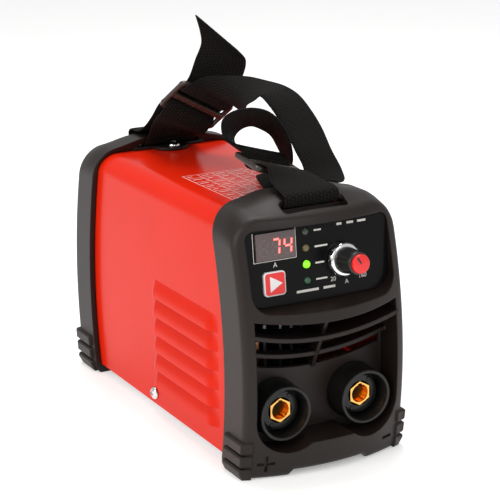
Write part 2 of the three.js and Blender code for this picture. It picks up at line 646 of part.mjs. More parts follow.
place('switch_housing', switchHousing(), FINISH.blackPlastic());
place('power_rocker', powerRocker(), FINISH.redPlastic());
place('cable_gland', turned(GLAND.x, GLAND.z, [
  [5.2, 84], [9.9, 84], [9.9, REAR_FLOOR + GAP], [13, REAR_FLOOR + GAP], [13, 101], [11.8, 102],
  [11.5, GLAND.end - 7], [9, GLAND.end], [5.2, GLAND.end], [5.2, 84]], 20), FINISH.blackPlastic());
place('gland_locknut', hexNut(GLAND.x, GLAND.z, 13.5, 10.2, 86, CORE_BACK - GAP), FINISH.blackPlastic());
place('earth_stud', turned(EARTH.x, EARTH.z,
  [[0, 87], [5, 87], [5, CORE_BACK - GAP], [3, CORE_BACK - GAP], [3, 107], [0, 107]], 14),
  FINISH.zincSteel());
place('earth_nut', hexNut(EARTH.x, EARTH.z, 5.8, 3.3, REAR_FLOOR + GAP, 100), FINISH.zincSteel());
place('fan_frame', fanFrame(), FINISH.blackPlastic());
place('fan_axle', cylinder('y', 0, FAN.z, 1.5, FAN.rear - FAN.depth + 3.3, FAN.rear - 5, 10),
  FINISH.zincSteel());
place('fan_rotor', fanRotor(), FINISH.blackPlastic());

// ---------------------------------------------------------------- power electronics
// Comb-shaped extrusion: a base with upright fins, running front to back.
function heatSink(left, right) {
  const [bottom, base, top, fins] = [28, 32, 62, 6];
  const pitch = (right - left - 1.8) / (fins - 1);
  const points = [[left, bottom], [right, bottom]];
  for (let i = fins - 1; i >= 0; i -= 1) {
    const x = left + i * pitch;
    points.push([x + 1.8, base], [x + 1.8, top], [x, top], [x, base]);
  }
  const outline = points.filter(([x, z], i) => i < 2 || z !== base || (x > left && x < right));
  return extrude('y', polygon(...outline), -52, 8);
}

function transformerCore() {
  const body = box([-21, 21], [16, 46], [28, 66]);
  const window = (x0, x1) => box([x0, x1], [10, 50], [35, 59]);
  return cut(body, window(-15, -7), window(7, 15));
}

function transformerWinding() {
  const outer = box([-13, 13], [10, 52], [36, 58]);
  const limb = box([-7 - GAP, 7 + GAP], [16 - GAP, 46 + GAP], [30, 64]);
  return cut(outer, limb);
}

const POSTS = [[-37, -57], [37, -57], [-37, 54], [37, 54]];
const board = (z) => box([-41, 41], [-61, 58], [z, z + 1.6]);
const postHoles = POSTS.map(([x, y]) => cylinder('z', x, y, 3.3, 20, 30, 6));
place('main_board', cut(board(25.8), ...postHoles), FINISH.circuitBoard());
place('power_board', board(68), FINISH.circuitBoard());
POSTS.forEach(([x, y], i) => {
  const floor = COVER_BOTTOM + BASE_SHEET + GAP;
  place(`board_post_${i + 1}`, cylinder('z', x, y, 3, floor, 67.7, 6), FINISH.zincSteel());
});
place('heatsink_left', heatSink(-40, -4), FINISH.aluminium());
place('heatsink_right', heatSink(4, 40), FINISH.aluminium());
place('transformer_core', transformerCore(), FINISH.ferrite());
place('transformer_winding', transformerWinding(), FINISH.copper());
[-20, 20].forEach((x, i) => {
  place(`capacitor_${i + 1}`, cylinder('z', x, -38, 15, 70, 110, 10), FINISH.capacitorSleeve());
});
place('bridge_rectifier', box([-38, -10], [-14, 14], [70, 79]), FINISH.blackPlastic());
place('output_choke', solid(new THREE.TorusGeometry(15, 6.5, 10, 20).translate(18, 12, 76.8)),
  FINISH.copper());

// ---------------------------------------------------------------- carrying strap
// The frame of a tri-glide buckle: x across the webbing, y along it, z out of the plate.
function buckleFrame({ centre, across, along }) {
  const x = new THREE.Vector3(...across).normalize();
  const y = new THREE.Vector3(...along);
  y.addScaledVector(x, -x.dot(y)).normalize();
  return new THREE.Matrix4().makeBasis(x, y, x.clone().cross(y)).setPosition(...centre);
}

function buckle(frame) {
  const [wide, long] = BUCKLE.half;
  const [near, far] = BUCKLE.slot;
  const half = BUCKLE.thickness / 2;
  const plate = extrude('z', roundRect(-wide, wide, -long, long, 3), -half, half);
  const slots = [[near, far], [-far, -near]].map(([from, to]) =>
    extrude('z', roundRect(-BUCKLE.slotHalf, BUCKLE.slotHalf, from, to, 1), -half - 1, half + 1, 2));
  return solid(geometryOf(cut(plate, ...slots)).applyMatrix4(frame));
}

// Webbing edges at one place in a buckle: how far along it, out of it and to its side.
function inBuckle(frame, along, out, aside = 0) {
  return [-1, 1].map((side) =>
    new THREE.Vector3(aside + side * WEBBING.half, along, out).applyMatrix4(frame).toArray());
}

// Half of the webbing's way through a buckle: over an end bar, then under the middle bar.
const THREADING = [[14, 3.4], [10.2, 2.9], [7.6, 2.3], [5.2, 0], [2.8, -2.3], [0.3, -2.9]];
const intoBuckle = (frame) => THREADING.map(([along, out]) => inBuckle(frame, -along, out));
const outOfBuckle = (frame) => THREADING.map(([along, out]) => inBuckle(frame, along, out)).reverse();

// Round the bar between a strap slot and the cover, from under it to over it: [distance from middle, z].
const BAR_WRAP = [
  [71.2, 140.4], [72.9, 139.6], [75, 139.4], [78.5, 139.3], [82, 138.5], [91, 138.2], [94, 138.9],
  [95, 141.2], [94.7, 144], [91.5, 145.4],
];
const aroundBar = (side, left, right) =>
  BAR_WRAP.map(([distance, z]) => [[left, side * distance, z], [right, side * distance, z]]);

// Flat webbing whose two edges are smooth curves through the left and the right points.
function webbing(pairs, stepsPerPair) {
  const [left, right] = [0, 1].map((side) => {
    const points = pairs.map((pair) => new THREE.Vector3(...pair[side]));
    return new THREE.CatmullRomCurve3(points, false, 'centripetal');
  });
  const steps = (pairs.length - 1) * stepsPerPair;
  const corners = [];
  const faces = [];
  for (let i = 0; i <= steps; i += 1) {
    const t = i / steps;
    const [a, b] = [left.getPoint(t), right.getPoint(t)];
    const forward = left.getTangent(t).add(right.getTangent(t));
    const normal = b.clone().sub(a).cross(forward).setLength(WEBBING.thickness / 2);
    for (const [edge, side] of [[a, 1], [b, 1], [b, -1], [a, -1]]) {
      corners.push(...edge.clone().addScaledVector(normal, side).toArray());
    }
    if (i === 0) continue;
    for (let k = 0; k < 4; k += 1) {
      const [p, q] = [4 * i + k, 4 * i + (k + 1) % 4];
      faces.push(p - 4, p, q, p - 4, q, q - 4);
    }
  }
  const last = 4 * steps;
  faces.push(0, 1, 2, 0, 2, 3, last, last + 2, last + 1, last, last + 3, last + 2);
  const geometry = new THREE.BufferGeometry();
  geometry.setAttribute('position', new THREE.Float32BufferAttribute(corners, 3));
  geometry.setIndex(faces);
  return solid(geometry);
}

const rearBuckle = buckleFrame(REAR_BUCKLE);
const frontBuckle = buckleFrame(FRONT_BUCKLE);

// From the standing tail, behind the rear buckle, over and under the rear bar, back into the buckle.
const REAR_ROUTE = [
  [[-4.7, 24.5, 221], [20, 19, 198.5]], [[-2.3, 24, 212], [25.5, 22.5, 194]],
  [[-1.1, 25, 205], [27, 25, 189.5]], [[-3, 29, 195.5], [26.5, 28, 183]],
  inBuckle(rearBuckle, 9, -6, 3), inBuckle(rearBuckle, -4, -6, 3), inBuckle(rearBuckle, -14, -6.5, 1.5),
  [[-16, 62, 158], [14, 62, 151]], [[-16, 73, 150], [16, 73, 148.5]], [[-16, 83, 145.8], [16, 83, 145.8]],
  ...aroundBar(1, -WEBBING.half, WEBBING.half).reverse(),
  [[-16, 69.2, 143], [16, 69.2, 143]], [[-16.5, 60, 154], [13.5, 58, 146.5]],
  ...intoBuckle(rearBuckle),
];

// From the rear buckle over the crest, down behind the front bar, around it and into the front buckle.
const MAIN_ROUTE = [
  ...outOfBuckle(rearBuckle),
  [[-2, 20, 186.5], [13, 0, 167.5]], [[6.5, 10, 188], [5.5, -14, 173.5]],
  [[14.5, 0, 188.3], [1.5, -24.5, 178.3]], [[23, -6, 186], [2.7, -30.3, 181.5]],
  [[31.5, -11, 183], [5, -31, 183.5]], [[36.5, -18, 178.9], [9.3, -34.5, 178]],
  [[40.3, -24, 171.8], [13, -36.5, 171.5]], [[43.4, -31, 162.5], [16.3, -41, 163]],
  [[44.6, -40, 151], [17.2, -48, 155]], [[46.5, -47, 142], [19.5, -53, 145.5]],
  [[40, -61, 138.7], [11, -62, 139.6]], [[30, -66, 141], [2, -66.5, 143.4]],
  [[18, -69, 142.2], [-12.5, -69, 143.2]],
  ...aroundBar(-1, WEBBING.half, -WEBBING.half),
  [[15.5, -82, 146], [-15.6, -80, 149]],
  ...intoBuckle(frontBuckle).map(([left, right]) => [right, left]),
];

// From the front buckle up into a small loop, back down and along the top of the cover.
const FRONT_ROUTE = [
  ...outOfBuckle(frontBuckle),
  [[-24, -46.5, 166], [-6, -30, 154.5]], [[-27.3, -49, 173.5], [-9.8, -29, 161]],
  [[-27.5, -52, 178.5], [-7.5, -31, 166]], [[-22.5, -54, 182], [-1, -32, 168]],
  [[-13, -56, 183], [6, -33.5, 165]], [[-2, -55, 179.4], [12, -31, 160.7]],
  [[7.5, -53, 170.3], [17.5, -27, 154.3]], [[12, -52, 161], [21.8, -24, 148.5]],
  [[16.8, -45, 147.5], [28, -16, 140.8]], [[14.5, -43, 140.8], [26, -14, 138.5]],
  [[5, -49.5, 138.4], [16, -19.5, 138.2]], [[-6, -56, 138.4], [5, -26, 138.2]],
];

place('strap_rear', webbing(REAR_ROUTE, 3), FINISH.webbing());
place('strap_main', webbing(MAIN_ROUTE, 3), FINISH.webbing());
place('strap_front', webbing(FRONT_ROUTE, 3), FINISH.webbing());
place('strap_buckle_rear', buckle(rearBuckle), FINISH.buckle());
place('strap_buckle_front', buckle(frontBuckle), FINISH.buckle());

export default inverter;
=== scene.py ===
import json
import math

import bmesh
import bpy
import numpy as np
from mathutils import Matrix, Vector


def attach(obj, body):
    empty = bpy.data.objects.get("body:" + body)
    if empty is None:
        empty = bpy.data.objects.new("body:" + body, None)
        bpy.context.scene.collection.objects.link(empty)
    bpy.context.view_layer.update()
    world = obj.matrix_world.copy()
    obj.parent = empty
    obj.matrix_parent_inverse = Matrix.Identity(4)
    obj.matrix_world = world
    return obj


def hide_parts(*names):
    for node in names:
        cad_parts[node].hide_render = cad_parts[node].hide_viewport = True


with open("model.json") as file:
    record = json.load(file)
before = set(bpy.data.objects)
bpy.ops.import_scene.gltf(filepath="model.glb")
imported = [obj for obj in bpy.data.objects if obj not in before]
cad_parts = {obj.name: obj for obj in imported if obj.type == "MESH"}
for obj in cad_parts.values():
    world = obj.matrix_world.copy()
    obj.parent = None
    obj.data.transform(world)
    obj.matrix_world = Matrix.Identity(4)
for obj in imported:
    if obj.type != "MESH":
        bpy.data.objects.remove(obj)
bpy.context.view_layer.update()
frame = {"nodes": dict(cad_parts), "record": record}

# Looks of a small inverter power source for stick welding: a painted folded cover between two
# moulded end caps, a lit control panel, two output sockets and a woven carrying strap.
# Shapes are drawn in millimetres in the CAD frame and turned into metres in new_object().
# The camera and the lights are placed in metres.

MM = 0.001
GAP = 0.3

# ---------------------------------------------------------------- driving dimensions
CAP_HALF_WIDTH = 48
CAP_RIM_TOP = 136.9
CAP_CORNER = 16
CAP_BAND = 22.3
CAP_ROUNDING = 2.6
FOOT_FRONT = 103.6
BOW = 10.5
LEAN_RATE = 0.00209
LEAN_HEIGHT = 51.9
EDGE_RISE = 3.1
HUMP_RISE = 3.7
HUMP_HALF = 36
HUMP_RUN = 20
RISE_RUN = 12
RISE_START = 100
FOOT_HALF_WIDTH = 50
FOOT_INSIDE = 23.7
FOOT_LENGTH = 19
FOOT_RIDGE = 6.6
FOOT_PITCH = 7.6
ARCH_HEIGHT = 2.8

COVER_HALF = 44.4
COVER_TOP = 136.5
COVER_BOTTOM = 4.9
COVER_CORNER = 11
COVER_END = 91.2
CORE_BACK = 91.5
SHEET = 1.0
LOUVRES = 6
LOUVRE_PITCH = 10.56
LOUVRE_TOP = 80
LOUVRE_HEIGHT = 9.6
LOUVRE_PROUD = 3
LOUVRE_FRONT = -74
LOUVRE_REAR = 5

SLOT_HALF = 19
SLOT_OUTER = 101
SLOT_INNER = 92.6
TONGUE_RADIUS = 11
TONGUE_EDGE = 71.5
TONGUE_TOP = 138.4
MARK_DEPTH = 1.2

PANEL_ORIGIN = Vector((0, -100, 110))
PANEL_LEAN = math.atan(0.1)
PANEL_FRAME = Matrix.Translation(PANEL_ORIGIN) @ Matrix.Rotation(-PANEL_LEAN, 4, "X")
PANEL_HALF = 41.6
PANEL_TOP = 20
PANEL_BOTTOM = -17.6
DISPLAY = {"x": -24.8, "z": 11.4, "width": 22.5, "height": 14}
BUTTON = {"x": -26.2, "z": -8, "half": 6.3}
LED = {"x": -6.7, "top": 16, "pitch": 8.5}
KNOB = {"x": 14.4, "z": -1.3}

RECESS_HALF = 42
RECESS_FLOOR = -94.5
FIN_CURVE = 0.0037
SOCKET = {"x": 24.1, "z": 33.75, "face": -109.5}
REAR_FLOOR = 95
FAN_Z = 51
SWITCH = (-19, 111)
GLAND = {"x": 20, "z": 112, "end": 120.4}
EARTH = (34, 97.5)

WEBBING = {"half": 16, "thickness": 1.4}
BUCKLE = {"half": (18.6, 11.6), "thickness": 3}


# ---------------------------------------------------------------- mesh kit
def soften(mesh, angle=38):
    mesh.shade_smooth()
    mesh.set_sharp_from_angle(angle=math.radians(angle))


def new_object(name, points, faces, angle=38):
    mesh = bpy.data.meshes.new(name)
    mesh.from_pydata([[c * MM for c in p] for p in points], [], faces)
    work = bmesh.new()
    work.from_mesh(mesh)
    bmesh.ops.remove_doubles(work, verts=work.verts, dist=1e-6)
    bmesh.ops.recalc_face_normals(work, faces=work.faces)
    work.to_mesh(mesh)
    work.free()
    soften(mesh, angle)
    obj = bpy.data.objects.new(name, mesh)
    bpy.context.scene.collection.objects.link(obj)
    return obj


def joined(name, *objects):
    """One object from several separate shells."""
    work = bmesh.new()
    for obj in objects:
        work.from_mesh(obj.data)
        bpy.data.objects.remove(obj)
    mesh = bpy.data.meshes.new(name)
    work.to_mesh(mesh)
    work.free()
    soften(mesh)
    obj = bpy.data.objects.new(name, mesh)
    bpy.context.scene.collection.objects.link(obj)
    return obj


def carved(obj, cutters):
    """obj with the cutters taken out of it."""
    for cutter in cutters:
        cut = obj.modifiers.new("cut", "BOOLEAN")
        cut.operation = "DIFFERENCE"
        cut.solver = "EXACT"
        cut.object = cutter
    graph = bpy.context.evaluated_depsgraph_get()
    mesh = bpy.data.meshes.new_from_object(obj.evaluated_get(graph))
    obj.modifiers.clear()
    obj.data = mesh
    soften(mesh)
    for cutter in cutters:
        bpy.data.objects.remove(cutter)
    return obj


def moved(obj, matrix_mm):
    """obj with its mesh moved by a matrix given in millimetres."""
    matrix = matrix_mm.copy()
    matrix.translation = matrix.translation * MM
    obj.data.transform(matrix)
    return obj


def mirrored_y(obj):
    obj.data.transform(Matrix.Scale(-1, 4, (0, 1, 0)))
    obj.data.flip_normals()
    return obj


def mirrored_x(obj):
    obj.data.transform(Matrix.Scale(-1, 4, (1, 0, 0)))
    obj.data.flip_normals()
    return obj


def prism(name, axis, outline, start, end):
    """A closed solid: outline drawn in the other two axes, from start to end along axis."""
    place = {
        "x": lambda u, v, w: (w, u, v),
        "y": lambda u, v, w: (u, w, v),
        "z": lambda u, v, w: (u, v, w),
    }[axis]
    n = len(outline)
    points = [place(u, v, w) for w in (start, end) for u, v in outline]
    sides = [(i, (i + 1) % n, n + (i + 1) % n, n + i) for i in range(n)]
    return new_object(name, points, [tuple(range(n)), tuple(range(n, 2 * n))] + sides)


def block(name, x, y, z):
    return prism(name, "z", [(x[0], y[0]), (x[1], y[0]), (x[1], y[1]), (x[0], y[1])], *z)


def arc(cx, cy, radius, start, end, steps=10):
    """Points on an arc, angles in degrees, both ends included."""
    angles = np.radians(np.linspace(start, end, steps + 1))
    return [(cx + radius * math.cos(a), cy + radius * math.sin(a)) for a in angles]


def bezier(p, q, r, steps=14):
    """Points on a quadratic curve after its first point."""
    ts = np.linspace(0, 1, steps + 1)[1:]
    return [
        tuple((1 - t) ** 2 * a + 2 * t * (1 - t) * b + t * t * c for a, b, c in zip(p, q, r))
        for t in ts
    ]


def round_rect(left, right, bottom, top, radius, steps=6):
    corners = [
        (right - radius, bottom + radius, -90), (right - radius, top - radius, 0),
        (left + radius, top - radius, 90), (left + radius, bottom + radius, 180),
    ]
    return [p for x, y, a in corners for p in arc(x, y, radius, a, a + 90, steps)]


def turned(name, profile, segments=64, place=None):
    """A body of revolution about y; the profile lists (radius, y) and closes on itself or the axis."""
    points = []
    for radius, y in profile:
        for k in range(segments):
            a = 2 * math.pi * k / segments
            points.append((radius * math.cos(a), y, radius * math.sin(a)))
    faces = []
    for i in range(len(profile) - 1):
        for k in range(segments):
            j = (k + 1) % segments
            near, far = i * segments, (i + 1) * segments
            faces.append((near + k, near + j, far + j, far + k))
    obj = new_object(name, points, faces)
    return moved(obj, place) if place else obj


def at(x, y, z):
    return Matrix.Translation((x, y, z))


def on_panel(x, z, y=0):
    return PANEL_FRAME @ at(x, y, z)


def around_y(count, place, name, x, y, z):
    """Equal blocks spaced round the y axis, then moved to their place."""
    blocks = []
    for k in range(count):
        piece = block(name, x, y, z)
        piece.data.transform(Matrix.Rotation(k * math.tau / count, 4, "Y"))
        blocks.append(moved(piece, place))
    return blocks


def loft(name, rings, closed=False, angle=38):
    """A skin through rings of points; capped unless the rings close on themselves."""
    n = len(rings[0])
    count = len(rings)
    points = [p for ring in rings for p in ring]
    faces = []
    for i in range(count if closed else count - 1):
        a, b = i * n, ((i + 1) % count) * n
        faces += [(a + k, a + (k + 1) % n, b + (k + 1) % n, b + k) for k in range(n)]
    if not closed:
        faces += [tuple(range(n)), tuple(range((count - 1) * n, count * n))]
    return new_object(name, points, faces, angle)


# ---------------------------------------------------------------- materials
def nodes_of(name):
    material = bpy.data.materials.new(name)
    material.use_nodes = True
    tree = material.node_tree
    return material, tree, tree.nodes["Principled BSDF"]


def grained(name, color, roughness, metallic=0.0, grain=900, depth=0.00004, mottle=0.12,
            edge=0.0006, coat=0.0, wear=0.06, shine=0.5):
    """A surface with fine grain, uneven tone, uneven gloss and, if edge is above 0, softened edges."""
    material, tree, shader = nodes_of(name)
    nodes, link = tree.nodes, tree.links.new
    place = nodes.new("ShaderNodeTexCoord")
    fine = nodes.new("ShaderNodeTexNoise")
    fine.inputs["Scale"].default_value = grain
    fine.inputs["Detail"].default_value = 3
    link(place.outputs["Object"], fine.inputs["Vector"])
    broad = nodes.new("ShaderNodeTexNoise")
    broad.inputs["Scale"].default_value = 24
    broad.inputs["Detail"].default_value = 4
    link(place.outputs["Object"], broad.inputs["Vector"])
    tone = nodes.new("ShaderNodeValToRGB")
    tone.color_ramp.elements[0].position = 0.3
    tone.color_ramp.elements[1].position = 0.7
    tone.color_ramp.elements[0].color = (*[c * (1 - mottle) for c in color], 1)
    tone.color_ramp.elements[1].color = (*[min(1, c * (1 + mottle)) for c in color], 1)
    link(broad.outputs["Fac"], tone.inputs["Fac"])
    link(tone.outputs["Color"], shader.inputs["Base Color"])
    gloss = nodes.new("ShaderNodeMapRange")
    gloss.inputs["To Min"].default_value = max(0.03, roughness - wear)
    gloss.inputs["To Max"].default_value = roughness + wear
    link(fine.outputs["Fac"], gloss.inputs["Value"])
    link(gloss.outputs["Result"], shader.inputs["Roughness"])
    bump = nodes.new("ShaderNodeBump")
    bump.inputs["Strength"].default_value = 0.6
    bump.inputs["Distance"].default_value = depth
    link(fine.outputs["Fac"], bump.inputs["Height"])
    if edge > 0:
        round_edge = nodes.new("ShaderNodeBevel")
        round_edge.samples = 4
        round_edge.inputs["Radius"].default_value = edge
        link(round_edge.outputs["Normal"], bump.inputs["Normal"])
    link(bump.outputs["Normal"], shader.inputs["Normal"])
    shader.inputs["Metallic"].default_value = metallic
    shader.inputs["Specular IOR Level"].default_value = shine
    shader.inputs["Coat Weight"].default_value = coat
    shader.inputs["Coat Roughness"].default_value = 0.08
    return material


def lit(material, color, strength):
    shader = material.node_tree.nodes["Principled BSDF"]
    shader.inputs["Emission Color"].default_value = (*color, 1)
    shader.inputs["Emission Strength"].default_value = strength
    return material


def woven(name, dark, light, pitch=0.0021):
    """Webbing: staggered rows of yarn across the band, drawn from its unrolled length."""
    material, tree, shader = nodes_of(name)
    nodes, link = tree.nodes, tree.links.new

    def maths(operation, a, b=None):
        node = nodes.new("ShaderNodeMath")
        node.operation = operation
        for socket, value in zip(node.inputs, (a, b)):
            if value is None:
                continue
            if isinstance(value, (int, float)):
                socket.default_value = value
            else:
                link(value, socket)
        return node.outputs[0]

    place = nodes.new("ShaderNodeUVMap")
    place.uv_map = "unrolled"
    split = nodes.new("ShaderNodeSeparateXYZ")
    link(place.outputs["UV"], split.inputs[0])
    across = maths("DIVIDE", split.outputs["X"], pitch)
    column = maths("FLOOR", across)
    stagger = maths("MULTIPLY", maths("MODULO", column, 2.0), 0.5)
    along = maths("ADD", maths("DIVIDE", split.outputs["Y"], pitch * 0.8), stagger)
    ridge = maths("ABSOLUTE", maths("SINE", maths("MULTIPLY", across, math.pi)))
    bead = maths("ABSOLUTE", maths("SINE", maths("MULTIPLY", along, math.pi)))
    yarn = maths("MULTIPLY", maths("POWER", ridge, 0.6), maths("POWER", bead, 0.6))
    fuzz = nodes.new("ShaderNodeTexNoise")
    fuzz.inputs["Scale"].default_value = 2600
    link(nodes.new("ShaderNodeTexCoord").outputs["Object"], fuzz.inputs["Vector"])
    height = maths("ADD", yarn, maths("MULTIPLY", fuzz.outputs["Fac"], 0.35))
    tone = nodes.new("ShaderNodeValToRGB")
    tone.color_ramp.elements[0].position = 0.25
    tone.color_ramp.elements[0].color = (*dark, 1)
    tone.color_ramp.elements[1].color = (*light, 1)
    link(height, tone.inputs["Fac"])
    link(tone.outputs["Color"], shader.inputs["Base Color"])
    bump = nodes.new("ShaderNodeBump")
    bump.inputs["Strength"].default_value = 0.9
    bump.inputs["Distance"].default_value = 0.0005
    link(height, bump.inputs["Height"])
    link(bump.outputs["Normal"], shader.inputs["Normal"])
    shader.inputs["Roughness"].default_value = 0.75
    shader.inputs["Specular IOR Level"].default_value = 0.08
    shader.inputs["Sheen Weight"].default_value = 0.01
    shader.inputs["Sheen Roughness"].default_value = 0.5
    return material


LOOK = {
    "case_plastic": grained("case_plastic", (0.012, 0.0075, 0.006), 0.44, grain=1700, depth=0.00012,
                            mottle=0.15, edge=0.0011, shine=0.28),
    "red_paint": grained("red_paint", (0.64, 0.016, 0.003), 0.22, grain=160, depth=0.000004,
                         mottle=0.03, edge=0, wear=0.03, shine=0.09),
    "red_plastic": grained("red_plastic", (0.72, 0.012, 0.012), 0.3, grain=1200, depth=0.00001,
                           mottle=0.04, edge=0.0004, coat=0.2),
    "black_plastic": grained("black_plastic", (0.012, 0.012, 0.012), 0.32, grain=1500,
                             depth=0.00002, mottle=0.1, edge=0.0005),
    "label_film": grained("label_film", (0.004, 0.004, 0.0045), 0.22, grain=2200, depth=0.00001,
                          mottle=0.08, edge=0, shine=0.1),
    "zinc_steel": grained("zinc_steel", (0.55, 0.56, 0.58), 0.34, 1.0, grain=700, depth=0.00002),
    "screw_steel": grained("screw_steel", (0.78, 0.78, 0.8), 0.16, 1.0, grain=900, depth=0.00001,
                           edge=0.0003),
    "chrome": grained("chrome", (0.86, 0.86, 0.88), 0.07, 1.0, grain=900, depth=0.000005,
                      mottle=0.03, edge=0.0002, wear=0.03),
    "aluminium": grained("aluminium", (0.62, 0.63, 0.65), 0.4, 1.0, grain=1100, depth=0.00003),
    "brass": grained("brass", (0.86, 0.47, 0.12), 0.2, 1.0, grain=800, depth=0.00001,
                     mottle=0.08, edge=0.0003),
    "copper": grained("copper", (0.72, 0.32, 0.16), 0.3, 1.0, grain=900, depth=0.00003),
    "socket_rubber": grained("socket_rubber", (0.006, 0.0057, 0.0055), 0.3, grain=1300,
                             depth=0.00003, mottle=0.12, edge=0.0006, shine=0.35),
    "buckle_plastic": grained("buckle_plastic", (0.03, 0.022, 0.019), 0.28, grain=1400,
                              depth=0.00002, edge=0.0005),
    "circuit_board": grained("circuit_board", (0.015, 0.12, 0.045), 0.35, grain=500,
                             depth=0.00003, mottle=0.2),
    "ferrite": grained("ferrite", (0.05, 0.05, 0.055), 0.7, grain=1500, depth=0.00008),
    "capacitor_sleeve": grained("capacitor_sleeve", (0.02, 0.03, 0.11), 0.3, grain=600,
                                depth=0.00001),
    "display_body": grained("display_body", (0.045, 0.03, 0.03), 0.4),
    "display_window": grained("display_window", (0.075, 0.045, 0.047), 0.12, grain=600,
                              depth=0.000004, mottle=0.1, edge=0.0002, coat=0.5, wear=0.03),
    "segment_off": grained("segment_off", (0.13, 0.095, 0.095), 0.35, edge=0.0001),
    "segment_on": lit(grained("segment_on", (0.9, 0.05, 0.05), 0.4, edge=0.0001),
                      (1.0, 0.06, 0.05), 7.0),
    "led_red": grained("led_red", (0.035, 0.05, 0.035), 0.12, grain=700, depth=0.00001),
    "led_amber": grained("led_amber", (0.12, 0.10, 0.045), 0.12, grain=700, depth=0.00001),
    "led_green": lit(grained("led_green", (0.1, 0.5, 0.02), 0.15, grain=700, depth=0.00001),
                     (0.22, 0.9, 0.01), 1.3),
    "led_dark": grained("led_dark", (0.03, 0.09, 0.05), 0.12, grain=700, depth=0.00001),
    "print_white": grained("print_white", (0.62, 0.6, 0.56), 0.45, grain=3000, edge=0.0001),
    "table_white": grained("table_white", (0.8, 0.62, 0.6), 0.35, grain=3000, edge=0.0001),
    "button_white": grained("button_white", (0.78, 0.76, 0.76), 0.4, grain=1500, edge=0.0002),
    "webbing": woven("webbing", (0.001, 0.001, 0.001), (0.010, 0.0085, 0.0075)),
    "floor": lit(grained("floor", (0.9, 0.9, 0.9), 0.7, grain=60, depth=0.00002, mottle=0.01),
                 (1, 1, 1), 0.3),
}


def dress(obj, look, body="housing", replaces=()):
    """Material, body and replaced CAD nodes of one piece."""
    obj.data.materials.clear()
    obj.data.materials.append(LOOK[look])
    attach(obj, body)
    if replaces:
        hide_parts(*replaces)
    return obj


# ---------------------------------------------------------------- camera, light and floor
def make_camera():
    yaw, pitch, roll = (math.radians(a) for a in (-28.22, 16.1, -0.8))
    back = Vector((math.sin(yaw) * math.cos(pitch), -math.cos(yaw) * math.cos(pitch), math.sin(pitch)))
    right = Vector((0, 0, 1)).cross(back).normalized()
    up = back.cross(right)
    turned_right = math.cos(roll) * right + math.sin(roll) * up
    turned_up = math.cos(roll) * up - math.sin(roll) * right
    data = bpy.data.cameras.new("camera")
    data.lens = 121.92
    data.shift_x = -0.00424
    data.shift_y = -0.0006
    camera = bpy.data.objects.new("camera", data)
    rotation = Matrix((turned_right, turned_up, back)).transposed()
    camera.matrix_world = Matrix.Translation((-0.42185, -0.81586, 0.35572)) @ rotation.to_4x4()
    bpy.context.scene.collection.objects.link(camera)
    bpy.context.scene.camera = camera


def make_light(name, place, size, power, color=(1, 1, 1), target=(0, 0, 0.08)):
    data = bpy.data.lights.new(name, "AREA")
    data.shape = "RECTANGLE"
    data.size, data.size_y = size
    data.energy = power
    data.color = color
    light = bpy.data.objects.new(name, data)
    light.location = place
    aim = Vector(target) - Vector(place)
    light.rotation_euler = aim.to_track_quat("-Z", "Y").to_euler()
    bpy.context.scene.collection.objects.link(light)


def make_stage():
    floor = new_object("floor", [(-4000, -4000, 0), (4000, -4000, 0), (4000, 4000, 0), (-4000, 4000, 0)],
                       [(0, 1, 2, 3)])
    floor.data.materials.append(LOOK["floor"])
    world = bpy.data.worlds.new("studio")
    world.use_nodes = True
    world.node_tree.nodes["Background"].inputs["Color"].default_value = (1, 1, 1, 1)
    world.node_tree.nodes["Background"].inputs["Strength"].default_value = 0.62
    bpy.context.scene.world = world
    bpy.context.scene.view_settings.view_transform = "Standard"
    make_light("key", (-1.1, -0.35, 0.75), (0.8, 0.8), 8, (1, 0.95, 0.88))
    make_light("front", (0.15, -1.3, 0.9), (0.6, 0.4), 4)
    make_light("top", (0.1, 0.3, 1.2), (0.6, 0.6), 7)


# ---------------------------------------------------------------- end caps
def smooth(t):
    c = min(1, max(0, t))
    return c * c * (3 - 2 * c)


def lean(z):
    return LEAN_RATE * ((z - LEAN_HEIGHT) ** 2 - LEAN_HEIGHT**2)


def cap_rule(x, depth, z):
    """Flat cap space (x, depth behind the face, z) to the bowed, leaning front cap."""
    across = min(1, (x / CAP_HALF_WIDTH) ** 2)
    bow = BOW * (1 - across) * max(0, 1 - depth / CAP_BAND)
    hump = HUMP_RISE * smooth((HUMP_HALF - abs(x)) / HUMP_RUN)
    ramp = max(0, (z - RISE_START) / (CAP_RIM_TOP - RISE_START))
    rise = smooth(depth / RISE_RUN) * (EDGE_RISE + hump) * ramp
    return (x, -FOOT_FRONT + lean(z) + depth - bow, z + rise)


def cap_outline():
    half, top, corner = CAP_HALF_WIDTH, CAP_RIM_TOP, CAP_CORNER
    right = [(FOOT_INSIDE - ARCH_HEIGHT, ARCH_HEIGHT), (FOOT_INSIDE, 0), (half - 2.1, 0), (half, 4.2)]
    right += arc(half - corner, top - corner, corner, 0, 90, 14)
    return right + [(-x, z) for x, z in reversed(right)]


def inset_outline(outline, inset):
    """The outline moved inwards along its corner normals."""
    points = [Vector(p) for p in outline]
    result = []
    for i, p in enumerate(points):
        before = (p - points[i - 1]).normalized()
        after = (points[(i + 1) % len(points)] - p).normalized()
        normal = Vector((-(before.y + after.y), before.x + after.x))
        scale = inset / max(0.35, (1 + before.dot(after)) / 2) ** 0.5
        result.append(tuple(p + normal.normalized() * scale))
    return result


